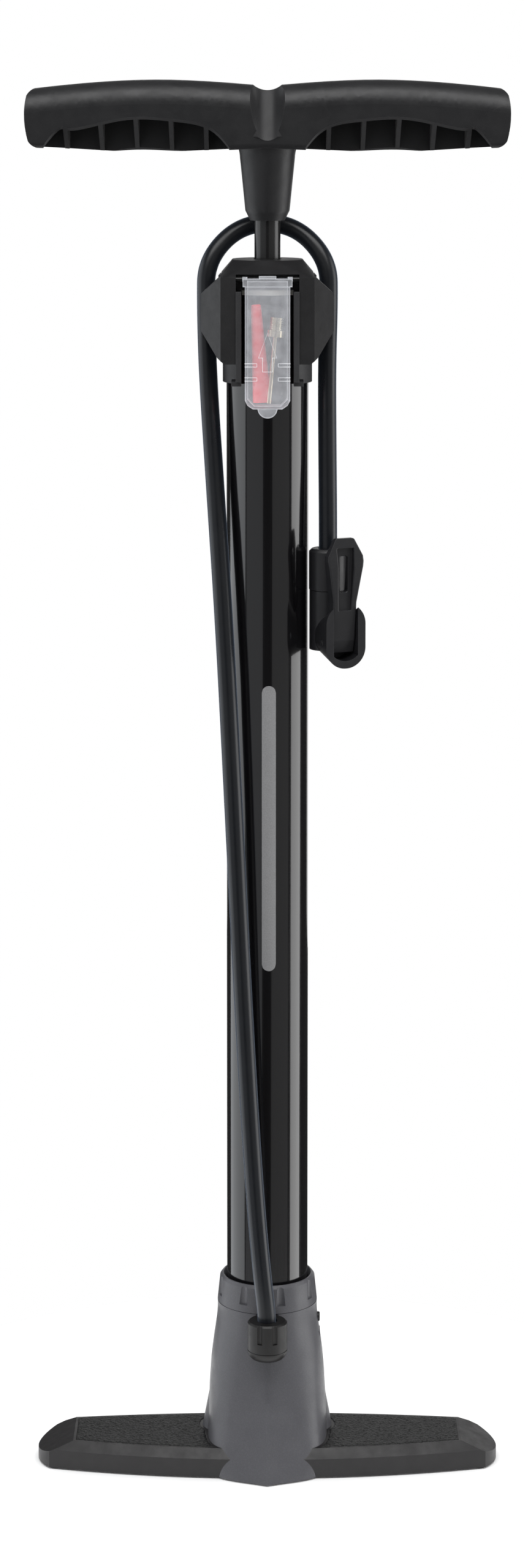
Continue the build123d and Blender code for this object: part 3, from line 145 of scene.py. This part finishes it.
# ---------------------------------------------------------------- material kit
class Look:
    """A node material being built, with short calls for the nodes that the looks share."""

    def __init__(self, name):
        self.material = bpy.data.materials.new(name)
        self.material.use_nodes = True
        self.tree = self.material.node_tree
        self.shader = self.tree.nodes["Principled BSDF"]
        self.place = self.add("ShaderNodeTexCoord").outputs["Object"]

    def add(self, kind, **settings):
        made = self.tree.nodes.new(kind)
        for name, value in settings.items():
            setattr(made, name, value)
        return made

    def feed(self, value, socket):
        """Sets a socket to a number or a colour, or links another socket to it."""
        if isinstance(value, bpy.types.NodeSocket):
            self.tree.links.new(value, socket)
        else:
            socket.default_value = value

    def stretched(self, scale):
        mapping = self.add("ShaderNodeMapping")
        self.feed(self.place, mapping.inputs["Vector"])
        mapping.inputs["Scale"].default_value = scale
        return mapping.outputs["Vector"]

    def noise(self, scale, detail=3.0, roughness=0.55, vector=None):
        made = self.add("ShaderNodeTexNoise")
        self.feed(vector or self.place, made.inputs["Vector"])
        made.inputs["Scale"].default_value = scale
        made.inputs["Detail"].default_value = detail
        made.inputs["Roughness"].default_value = roughness
        return made.outputs["Fac"]

    def cells(self, scale):
        made = self.add("ShaderNodeTexVoronoi")
        self.feed(self.place, made.inputs["Vector"])
        made.inputs["Scale"].default_value = scale
        return made.outputs["Distance"]

    def remap(self, value, low, high, to_low, to_high):
        """A value from the range low..high, moved to the range to_low..to_high."""
        made = self.add("ShaderNodeMapRange")
        for socket, number in zip(made.inputs, (value, low, high, to_low, to_high)):
            self.feed(number, socket)
        return made.outputs["Result"]

    def blend(self, factor, first, second):
        made = self.add("ShaderNodeMix", data_type="RGBA")
        self.feed(factor, made.inputs["Factor"])
        self.feed(first, made.inputs["A"])
        self.feed(second, made.inputs["B"])
        return made.outputs["Result"]

    def sum(self, first, second, operation="ADD"):
        """Two values added, or joined by another operation."""
        made = self.add("ShaderNodeMath", operation=operation)
        self.feed(first, made.inputs[0])
        self.feed(second, made.inputs[1])
        return made.outputs["Value"]

    def edges(self, radius):
        """1 along the sharp edges of the piece, fading to 0 within the radius."""
        bevel = self.add("ShaderNodeBevel", samples=4)
        bevel.inputs["Radius"].default_value = radius
        flat = self.add("ShaderNodeNewGeometry")
        dot = self.add("ShaderNodeVectorMath", operation="DOT_PRODUCT")
        self.feed(bevel.outputs["Normal"], dot.inputs[0])
        self.feed(flat.outputs["Normal"], dot.inputs[1])
        return self.remap(dot.outputs["Value"], 0.98, 0.7, 0.0, 1.0)

    def bump(self, heights, metres, strength):
        made = self.add("ShaderNodeBump")
        made.inputs["Strength"].default_value = strength
        made.inputs["Distance"].default_value = metres
        self.feed(heights, made.inputs["Height"])
        return made.outputs["Normal"]

    def set(self, **values):
        """Sockets of the shader, by their names with underscores."""
        for name, value in values.items():
            self.feed(value, self.shader.inputs[name.replace("_", " ")])
        return self.material


def shade(colour, times):
    """A colour made brighter or darker."""
    return (*(min(1.0, channel * times) for channel in colour), 1.0)


def moulded(name, colour, roughness, grain=0.5, grain_size=0.45, wear=1.9, mottle=0.35, sheen=0.0):
    """Moulded plastic: fine grain, soft mottling, and paler edges."""
    look = Look(name)
    patches = look.noise(55, detail=4)
    fine = look.noise(1000 / grain_size, detail=2, roughness=0.7)
    rubbing = look.remap(look.noise(240), 0.35, 0.65, 0.35, 1.0)
    worn = look.sum(look.edges(0.5 * MM), rubbing, "MULTIPLY")
    base = look.blend(patches, shade(colour, 1 - mottle), shade(colour, 1 + mottle))
    speckled = look.blend(look.remap(fine, 0.45, 0.8, 0, 0.35), base, shade(colour, 1.8))
    handling = look.noise(120, detail=6, roughness=0.7)
    scuffs = look.remap(handling, 0.3, 0.7, roughness - 0.07, roughness + 0.09)
    return look.set(
        Base_Color=look.blend(worn, speckled, shade(colour, wear)),
        Roughness=look.remap(worn, 0, 1, scuffs, roughness - 0.08),
        Specular_IOR_Level=0.5,
        Sheen_Weight=sheen,
        Sheen_Roughness=0.5,
        Normal=look.bump(fine, grain * 0.05 * MM, 0.6),
    )


def pebbled(name, colour):
    """Plastic with a coarse leather grain, for the tread of the foot rests, with painted shade in the
    hollows between the pebbles and painted light on their crowns.
    """
    look = Look(name)
    pebbles = look.cells(850)
    fine = look.noise(2400)
    height = look.sum(look.remap(pebbles, 0.0, 0.6, 1.0, 0.0), look.sum(fine, 0.2, "MULTIPLY"))
    # colour runs from dark in the hollows between the pebbles to light on their crowns: painted shade in
    # the hollows, painted light on the crowns
    pebble_light_and_shade = look.remap(pebbles, 0.1, 0.6, 1.0, 0.0)
    return look.set(
        Base_Color=look.blend(pebble_light_and_shade, shade(colour, 0.5), shade(colour, 1.6)),
        Roughness=look.remap(fine, 0.3, 0.7, 0.38, 0.6),
        Normal=look.bump(height, 0.16 * MM, 0.9),
    )


def painted(name, colour, roughness, coat):
    """Paint on a drawn tube: a deep clear coat over a faint orange peel."""
    look = Look(name)
    peel = look.noise(160, detail=1)
    dust = look.remap(look.noise(1500, detail=5, roughness=0.75), 0.62, 0.8, 0.0, 1.0)
    draw = look.noise(40, vector=look.stretched((60, 60, 1)))
    return look.set(
        Base_Color=look.blend(dust, shade(colour, 1.0), shade(colour, 2.4)),
        Roughness=look.remap(draw, 0.3, 0.7, roughness - 0.04, roughness + 0.05),
        Coat_Weight=coat,
        Coat_Roughness=0.05,
        Normal=look.bump(peel, 0.02 * MM, 0.35),
    )


def rubber(name, colour, roughness, sheen_tint=(1, 1, 1, 1), sheen=0.15):
    """Rubber with a faint bloom, rubbed smoother in places."""
    look = Look(name)
    bloom = look.noise(180, detail=5)
    fine = look.noise(2600, detail=2)
    rubbed = look.noise(70, detail=3, vector=look.stretched((1, 1, 0.3)))
    return look.set(
        Base_Color=look.blend(bloom, shade(colour, 0.75), shade(colour, 1.35)),
        Roughness=look.remap(rubbed, 0.3, 0.7, roughness - 0.06, roughness + 0.07),
        Sheen_Weight=sheen,
        Sheen_Roughness=0.4,
        Sheen_Tint=sheen_tint,
        Normal=look.bump(fine, 0.012 * MM, 0.6),
    )


def metal(name, colour, roughness, brushing=(1, 1, 1)):
    """Machined or drawn metal, brushed along the directions of the smaller numbers."""
    look = Look(name)
    lines = look.noise(900, detail=3, vector=look.stretched(brushing))
    tarnish = look.noise(260, detail=5)
    worn = look.edges(0.25 * MM)
    base = look.blend(tarnish, shade(colour, 0.78), shade(colour, 1.08))
    return look.set(
        Base_Color=look.blend(worn, base, shade(colour, 1.25)),
        Metallic=1.0,
        Roughness=look.remap(lines, 0.3, 0.7, roughness - 0.07, roughness + 0.1),
        Normal=look.bump(lines, 0.01 * MM, 0.5),
    )


# past this half width only the case's hinge pins stand out, and they are black
CASE_RIM_X = 11.3 * MM
PIN_FADE = 0.1 * MM
PIN_BLACK = (0.006, 0.006, 0.006, 1)


def frosted(name, colour, thin, dense):
    """Frosted clear plastic with black pins, denser where it turns away or has an edge."""
    look = Look(name)
    facing = look.add("ShaderNodeLayerWeight")
    facing.inputs["Blend"].default_value = 0.55
    cloud = look.remap(look.noise(210, detail=4), 0.3, 0.7, -0.03, 0.05)
    turned = look.remap(facing.outputs["Facing"], 0.25, 0.9, thin, dense)
    rim = look.sum(look.edges(1.1 * MM), 0.3, "MULTIPLY")
    scratches = look.noise(420, detail=3, vector=look.stretched((1, 1, 0.2)))
    split = look.add("ShaderNodeSeparateXYZ")
    look.feed(look.place, split.inputs["Vector"])
    across = look.sum(split.outputs["X"], 0, "ABSOLUTE")
    pin = look.remap(across, CASE_RIM_X, CASE_RIM_X + PIN_FADE, 0, 1)
    milky = look.blend(look.noise(90), shade(colour, 0.95), shade(colour, 1.03))
    return look.set(
        Base_Color=look.blend(pin, milky, PIN_BLACK),
        Alpha=look.sum(look.sum(look.sum(turned, cloud), rim), pin),
        Roughness=look.remap(scratches, 0.35, 0.7, 0.16, 0.32),
        IOR=1.49,
        Normal=look.bump(scratches, 0.003 * MM, 0.3),
    )


def gloss(name, colour, roughness):
    """Shiny soft plastic that lets a little light in."""
    look = Look(name)
    swirl = look.noise(90, detail=3, vector=look.stretched((1, 1, 0.25)))
    worn = look.edges(0.4 * MM)
    base = look.blend(swirl, shade(colour, 0.8), shade(colour, 1.1))
    smears = look.noise(400, detail=4)
    return look.set(
        Base_Color=look.blend(worn, base, shade(colour, 1.25)),
        Roughness=look.remap(smears, 0.3, 0.7, roughness - 0.05, roughness + 0.08),
        Subsurface_Weight=0.15,
        Subsurface_Scale=0.002,
        Normal=look.bump(look.noise(700), 0.01 * MM, 0.5),
    )


def printed(name, colour):
    """Thin silver ink, slightly uneven."""
    look = Look(name)
    specks = look.noise(1800, detail=3)
    uneven = look.remap(specks, 0.35, 0.75, 0, 1)
    return look.set(
        Base_Color=look.blend(uneven, shade(colour, 0.88), shade(colour, 1.1)),
        Roughness=look.remap(look.noise(300), 0.3, 0.7, 0.34, 0.5),
        Metallic=0.35,
        Normal=look.bump(specks, 0.004 * MM, 0.5),
    )


LOOKS = {
    "tower": moulded(
        "tower_plastic", (0.062, 0.062, 0.069), 0.37, grain=0.9, grain_size=0.55, mottle=0.12, wear=1.4
    ),
    "foot": moulded("foot_plastic", (0.0095, 0.0085, 0.0092), 0.42, mottle=0.2, wear=3.2),
    "tread": pebbled("foot_tread", (0.008, 0.008, 0.008)),
    "handle": moulded(
        "handle_plastic", (0.0085, 0.0085, 0.0095), 0.43, grain=0.8, mottle=0.15, wear=1.5, sheen=0.06
    ),
    "cap": moulded(
        "cap_plastic", (0.0105, 0.0102, 0.011), 0.45, grain=0.8, mottle=0.12, wear=2.4
    ),
    "grained": moulded(
        "grained_plastic", (0.02, 0.02, 0.0215), 0.52, grain=3.2, grain_size=0.5, wear=2.2
    ),
    "elbow": moulded("elbow_plastic", (0.0055, 0.005, 0.0048), 0.42, mottle=0.15, wear=2.0),
    "head": moulded("head_plastic", (0.0095, 0.0095, 0.011), 0.37, grain=0.35, mottle=0.1, wear=2.6),
    "barrel": painted("barrel_paint", (0.003, 0.0028, 0.0033), 0.16, 1.0),
    "rod": painted("rod_paint", (0.006, 0.0058, 0.006), 0.28, 0.4),
    "hose": rubber("hose_rubber", (0.0045, 0.0052, 0.0068), 0.3, (0.6, 0.75, 1, 1), 0.25),
    "pads": rubber("pad_rubber", (0.012, 0.012, 0.012), 0.7),
    "seals": rubber("seal_rubber", (0.02, 0.02, 0.02), 0.5),
    "case": frosted("case_clear", (0.86, 0.88, 0.93), 0.16, 0.62),
    "emboss": frosted("case_emboss", (0.95, 0.96, 1.0), 0.22, 0.5),
    "cone": gloss("cone_red", (0.72, 0.018, 0.03), 0.28),
    "inner": moulded("inner_plastic", (0.62, 0.61, 0.56), 0.42, mottle=0.06, wear=1.1),
    "brass": metal("brass", (0.78, 0.58, 0.28), 0.28),
    "needle": metal("pale_brass", (0.86, 0.76, 0.56), 0.26, (1, 1, 0.08)),
    "steel": metal("steel", (0.56, 0.56, 0.58), 0.26, (0.1, 1, 1)),
    "print": printed("silver_print", (0.27, 0.27, 0.275)),
}

NODE_LOOKS = {
    "base_tower": "tower", "foot_plate": "foot", "foot_pads": "pads", "base_screws": "steel",
    "side_screw": "cap", "lock_ring": "tower", "barrel_tube": "barrel", "barrel_gasket": "seals",
    "valve_seat": "brass", "check_spring": "steel", "hose_elbow": "elbow", "elbow_barb": "brass",
    "elbow_seal": "seals", "hose": "hose", "top_cap": "cap", "rod_bush": "inner",
    "rod_wiper": "seals", "case_holder": "grained", "head_body": "head", "chuck_cap": "head",
    "valve_gasket": "seals", "head_nut": "head", "head_barb": "brass", "lever_pin": "steel",
    "accessory_case": "case", "inflation_cone": "cone", "ball_needle": "needle",
    "head_lever": "head", "lock_plunger": "inner", "check_ball": "steel", "piston_seal": "seals",
    "rod": "rod", "handle_body": "handle", "handle_pin": "steel", "piston_body": "inner",
    "rod_stud": "brass", "piston_nut": "steel", "stop_bumper": "seals",
}


def wear_look(piece, look):
    """Gives a piece one of the looks."""
    piece.data.materials.clear()
    piece.data.materials.append(LOOKS[look])


for node_name, look_name in NODE_LOOKS.items():
    wear_look(nodes[node_name], look_name)
wear_look(air_hose, "hose")


# ---------------------------------------------------------------- rounded edges on the CAD nodes
WELD_DISTANCE = 0.002 * MM
SHARP_ANGLE = math.radians(28)
FACE_WEIGHT = 80

# the radius of the rounds on each node, in millimetres
ROUNDED = {
    "top_cap": 0.5, "case_holder": 0.3, "head_body": 0.5, "head_lever": 0.5, "head_nut": 0.35,
    "accessory_case": 0.45, "foot_plate": 0.5, "lock_ring": 0.35, "hose_elbow": 0.4,
    "handle_body": 0.5, "base_tower": 0.4, "chuck_cap": 0.3, "barrel_tube": 0.3,
}


def round_edges(name, millimetres):
    """Small rounds on a node's sharp edges, without moving its surfaces."""
    piece = nodes[name]
    weld = piece.modifiers.new("join", "WELD")
    weld.merge_threshold = WELD_DISTANCE
    bevel = piece.modifiers.new("round", "BEVEL")
    bevel.width = millimetres * MM
    bevel.segments = 3
    bevel.limit_method = "ANGLE"
    bevel.angle_limit = SHARP_ANGLE
    bevel.miter_outer = "MITER_ARC"
    shading = piece.modifiers.new("shading", "WEIGHTED_NORMAL")
    shading.keep_sharp = True
    shading.weight = FACE_WEIGHT


for rounded_name, rounding in ROUNDED.items():
    round_edges(rounded_name, rounding)


# ---------------------------------------------------------------- tread of the foot rests
TREAD_STEP = 0.5 * MM
TREAD_MARGIN = 1.1 * MM
TREAD_RISE = 0.1 * MM
PEBBLE_HEIGHT = 0.28 * MM
PEBBLE_SIZE = 1.25 * MM
PEBBLE_STEEPNESS = 1.6
RIM_RISE = 0.3 * TREAD_RISE
TREAD_THICKNESS = 0.4 * MM
FLAT_WITHIN = 0.05 * MM
PROBE_HEIGHT = 0.2
PROBE_DIRECTIONS = 8


def top_tree(*names):
    """The surfaces of some CAD nodes, for finding what lies on top."""
    points, faces = [], []
    for name in names:
        mesh = nodes[name].data
        first = len(points)
        points += [vertex.co.copy() for vertex in mesh.vertices]
        faces += [[first + corner for corner in face.vertices] for face in mesh.polygons]
    return BVHTree.FromPolygons(points, faces)


def make_tread(side):
    """A pebbled sheet on the flat top of one foot rest, clear of its edges and of the tower."""
    surfaces = top_tree("foot_plate", "base_tower")
    plate_low, plate_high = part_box("foot_plate")
    level = plate_high.z
    above = level + PROBE_HEIGHT
    # places to probe round a point, one radian apart
    reach = [
        (math.cos(turn) * TREAD_MARGIN, math.sin(turn) * TREAD_MARGIN) for turn in range(PROBE_DIRECTIONS)
    ]

    def on_top(x, y):
        hit = surfaces.ray_cast(Vector((x, y, above)), Vector((0, 0, -1)))[0]
        return hit is not None and abs(hit.z - level) < FLAT_WITHIN

    def inside(x, y):
        return on_top(x, y) and all(on_top(x + dx, y + dy) for dx, dy in reach)

    mesh = bmesh.new()
    placed = {}
    columns = int(plate_high.x / TREAD_STEP) + 1
    first_row = int(plate_low.y / TREAD_STEP)
    last_row = int(plate_high.y / TREAD_STEP) + 1
    for column in range(columns):
        for row in range(first_row, last_row):
            x, y = side * column * TREAD_STEP, row * TREAD_STEP
            if inside(x, y):
                cell = noise.voronoi(Vector((x, y, 0)) / PEBBLE_SIZE)[0]
                swell = min(1.0, (cell[1] - cell[0]) * PEBBLE_STEEPNESS)
                height = level + TREAD_RISE + swell * PEBBLE_HEIGHT
                placed[column, row] = mesh.verts.new((x, y, height))
    for column, row in list(placed):
        around = [(column, row), (column + side, row), (column + side, row + 1), (column, row + 1)]
        if side < 0:
            around = [(column, row), (column, row + 1), (column + 1, row + 1), (column + 1, row)]
        if all(spot in placed for spot in around):
            mesh.faces.new([placed[spot] for spot in around])
    loose = [vertex for vertex in mesh.verts if not vertex.link_faces]
    bmesh.ops.delete(mesh, geom=loose, context="VERTS")
    for vertex in mesh.verts:
        if vertex.is_boundary:
            vertex.co.z = level + RIM_RISE
    mesh.normal_update()
    data = finished_mesh("tread", mesh)
    data.shade_smooth()
    name = "foot_tread_right" if side > 0 else "foot_tread_left"
    tread = link_piece(name, data, "pump")
    thick = tread.modifiers.new("thickness", "SOLIDIFY")
    thick.thickness = TREAD_THICKNESS
    thick.offset = -1
    wear_look(tread, "tread")


make_tread(-1)
make_tread(1)


# ---------------------------------------------------------------- marks moulded into the case
EMBOSS_R = 0.16 * MM
# the rim of the case stands this far in front of its face
CASE_RIM_OVERHANG = 0.6 * MM
CASE_FRONT_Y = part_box("accessory_case")[0].y + CASE_RIM_OVERHANG
ARROW_TOP_Z = 536.0 * MM
ARROW_BARB_Z = 524.7 * MM
ARROW_FOOT_Z = 518.4 * MM
ARROW_HALF_HEAD = 4.1 * MM
ARROW_HALF_SHAFT = 2.25 * MM
RIB_LEVELS = (521.4 * MM, 515.0 * MM)
RIB_LENGTH = 5.4 * MM
RIB_HALF_HEIGHT = 0.75 * MM
RIB_PAST_EDGE = 0.1 * MM
CASE_HALF_WIDTH = 10.25 * MM


def raised_line(name, points, closed=False):
    """A thin raised ridge through some points on the face of the case."""
    curve = bpy.data.curves.new(name, "CURVE")
    curve.dimensions = "3D"
    curve.bevel_depth = 1.0  # times each point's radius
    curve.bevel_resolution = 3
    curve.use_fill_caps = True
    spline = curve.splines.new("POLY")
    spline.points.add(len(points) - 1)
    for point, (x, z) in zip(spline.points, points):
        point.co = (x, CASE_FRONT_Y, z, 1)
        point.radius = EMBOSS_R
    spline.use_cyclic_u = closed
    ridge = link_piece(name, curve, "case")
    wear_look(ridge, "emboss")


def make_case_marks():
    """The arrow, and two short ribs at each side."""
    outline = [
        (0, ARROW_TOP_Z), (ARROW_HALF_HEAD, ARROW_BARB_Z), (ARROW_HALF_SHAFT, ARROW_BARB_Z),
        (ARROW_HALF_SHAFT, ARROW_FOOT_Z), (-ARROW_HALF_SHAFT, ARROW_FOOT_Z),
        (-ARROW_HALF_SHAFT, ARROW_BARB_Z), (-ARROW_HALF_HEAD, ARROW_BARB_Z),
    ]
    raised_line("case_arrow", outline, closed=True)
    for side, side_name in ((-1, "left"), (1, "right")):
        for count, level in enumerate(RIB_LEVELS, 1):
            inner = side * (CASE_HALF_WIDTH - RIB_LENGTH)
            outer = side * (CASE_HALF_WIDTH + RIB_PAST_EDGE)
            bottom = level - RIB_HALF_HEIGHT
            top = level + RIB_HALF_HEIGHT
            loop = [(outer, bottom), (inner, bottom), (inner, top), (outer, top)]
            raised_line(f"case_rib_{side_name}_{count}", loop)


make_case_marks()


# ---------------------------------------------------------------- spring of the check valve
SPRING_WIRE_R = 0.35 * MM
SPRING_TURNS = 4
STEPS_PER_TURN = 24
WIRE_SIDES = 10


def make_valve_spring():
    """A coil of round wire with an even pitch, filling the box of the check spring."""
    low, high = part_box("check_spring")
    radius = (high.x - low.x) / 2 - SPRING_WIRE_R
    rise = high.z - low.z - 2 * SPRING_WIRE_R
    steps = SPRING_TURNS * STEPS_PER_TURN
    mesh = bmesh.new()
    rings = []
    for step in range(steps + 1):
        share = step / steps
        turn = share * SPRING_TURNS * 2 * math.pi
        outward = Vector((math.cos(turn), math.sin(turn), 0))
        middle = outward * radius + Vector((0, 0, low.z + SPRING_WIRE_R + share * rise))
        ring = []
        for side in range(WIRE_SIDES):
            around = side * 2 * math.pi / WIRE_SIDES
            lean = outward * math.cos(around) + Vector((0, 0, math.sin(around)))
            ring.append(mesh.verts.new(middle + lean * SPRING_WIRE_R))
        rings.append(ring)
    for first, second in zip(rings, rings[1:]):
        for side in range(WIRE_SIDES):
            after = (side + 1) % WIRE_SIDES
            mesh.faces.new([first[side], first[after], second[after], second[side]])
    mesh.faces.new(rings[0])
    mesh.faces.new(rings[-1])
    bmesh.ops.recalc_face_normals(mesh, faces=mesh.faces)
    for face in mesh.faces:
        face.smooth = len(face.verts) == 4
    spring = link_piece("valve_spring", finished_mesh("valve_spring", mesh), "pump")
    wear_look(spring, "steel")
    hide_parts("check_spring")
    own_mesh(spring)


make_valve_spring()


# ---------------------------------------------------------------- plain graphic on the barrel
BAR_RISE = 0.06 * MM
BAR_CENTRE = math.radians(2)
BAR_WIDTH = 6.5 * MM
BAR_LOW_Z = 238 * MM
BAR_HIGH_Z = 372 * MM
BAR_STEPS = 16


def make_barrel_bar():
    """A thin plain printed bar with round ends, wrapped on the barrel."""
    barrel_low, barrel_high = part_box("barrel_tube")
    radius = (barrel_high.x - barrel_low.x) / 2
    half = BAR_WIDTH / 2
    rows = [half * (1 - 2 * step / BAR_STEPS) for step in range(BAR_STEPS + 1)]
    mesh = bmesh.new()

    def wrapped(shell, across, level):
        turn = BAR_CENTRE + across / radius
        return mesh.verts.new((shell * math.sin(turn), -shell * math.cos(turn), level))

    def end_height(across):
        return math.sqrt(max(0.0, half * half - across * across))

    shells = []
    for shell in (radius + BAR_RISE, radius - BAR_RISE):
        top = [wrapped(shell, across, BAR_HIGH_Z - half + end_height(across)) for across in rows]
        bottom = [wrapped(shell, across, BAR_LOW_Z + half - end_height(across)) for across in rows]
        shells.append((top, bottom))
    (top, bottom), (inner_top, inner_bottom) = shells
    for step in range(BAR_STEPS):
        after = step + 1
        mesh.faces.new([top[step], top[after], bottom[after], bottom[step]])
        mesh.faces.new([inner_top[after], inner_top[step], inner_bottom[step], inner_bottom[after]])
        mesh.faces.new([top[after], top[step], inner_top[step], inner_top[after]])
        mesh.faces.new([bottom[step], bottom[after], inner_bottom[after], inner_bottom[step]])
    for edge in (0, BAR_STEPS):
        mesh.faces.new([top[edge], bottom[edge], inner_bottom[edge], inner_top[edge]])
    bmesh.ops.recalc_face_normals(mesh, faces=mesh.faces)
    bar = link_piece("barrel_bar", finished_mesh("barrel_bar", mesh), "pump")
    wear_look(bar, "print")


make_barrel_bar()


# ---------------------------------------------------------------- floor and light
FLOOR_RADIUS = 0.22
FLOOR_SIDES = 96
# the brightness of the room in reflections, and of the dome in diffuse light
ROOM_IN_GLOSS = 0.03
DOME = 0.8


def make_floor():
    """A pale round floor, small enough that the upright barrel mirrors little of it."""
    mesh = bmesh.new()
    bmesh.ops.create_circle(mesh, cap_ends=True, segments=FLOOR_SIDES, radius=FLOOR_RADIUS)
    floor = bpy.data.objects.new("floor", finished_mesh("floor", mesh))
    scene.collection.objects.link(floor)
    look = Look("floor_white")
    look.set(
        Base_Color=look.blend(look.noise(3), (0.94, 0.94, 0.94, 1), (0.96, 0.96, 0.96, 1)),
        Roughness=0.7,
        Specular_IOR_Level=0.2,
    )
    floor.data.materials.append(look.material)


def make_softbox(
    name, first_deg, last_deg, distance, radiance, colour=(1, 1, 1), middle_z=0.25, height=2.4
):
    """An upright soft panel that fills a range of directions: 0 is the front, 90 the right."""
    turn = math.radians((first_deg + last_deg) / 2)
    width = 2 * distance * math.tan(math.radians(abs(last_deg - first_deg)) / 2)
    away = Vector((math.sin(turn), -math.cos(turn), 0))
    middle = away * distance + Vector((0, 0, middle_z))
    add_lamp(name, middle, away, width, height, radiance, colour)


def add_lamp(name, place, away, width, height, radiance, colour=(1, 1, 1)):
    """An area lamp of a given brightness, which shines back along the direction away."""
    data = bpy.data.lights.new(name, "AREA")
    data.shape = "RECTANGLE"
    data.size = width
    data.size_y = height
    data.energy = radiance * math.pi * width * height
    data.color = colour
    lamp = bpy.data.objects.new(name, data)
    lamp.location = place
    lamp.rotation_mode = "QUATERNION"
    lamp.rotation_quaternion = away.to_track_quat("Z", "Y")
    scene.collection.objects.link(lamp)


def make_world():
    """White to the camera, an even dome for diffuse light, and a dim room in reflections."""
    world = bpy.data.worlds.new("studio")
    world.use_nodes = True
    tree = world.node_tree
    path = tree.nodes.new("ShaderNodeLightPath")

    def white_light(strength):
        light = tree.nodes.new("ShaderNodeBackground")
        light.inputs["Color"].default_value = (1, 1, 1, 1)
        light.inputs["Strength"].default_value = strength
        return light.outputs[0]

    shown = white_light(ROOM_IN_GLOSS)
    for ray, strength in (("Is Diffuse Ray", DOME), ("Is Camera Ray", 1.0)):
        mix = tree.nodes.new("ShaderNodeMixShader")
        tree.links.new(path.outputs[ray], mix.inputs[0])
        tree.links.new(shown, mix.inputs[1])
        tree.links.new(white_light(strength), mix.inputs[2])
        shown = mix.outputs[0]
    tree.links.new(shown, tree.nodes["World Output"].inputs["Surface"])
    scene.world = world


make_floor()
make_world()
make_softbox("bright_right", 70, 106, 1.5, 2.2)
make_softbox("dim_right", 12, 62, 2.0, 0.24)
make_softbox("dim_left", -62, -14, 2.0, 0.34, (0.95, 0.97, 1))
make_softbox("bright_left", -128, -66, 1.5, 1.2, (0.94, 0.97, 1))
make_softbox("back", 150, 196, 1.8, 0.7, height=1.6, middle_z=0.6)
add_lamp("top", Vector((0, -0.75, 1.75)), Vector((0, -0.42, 0.9)), 1.7, 1.0, 3.4)
scene.view_settings.view_transform = "Standard"
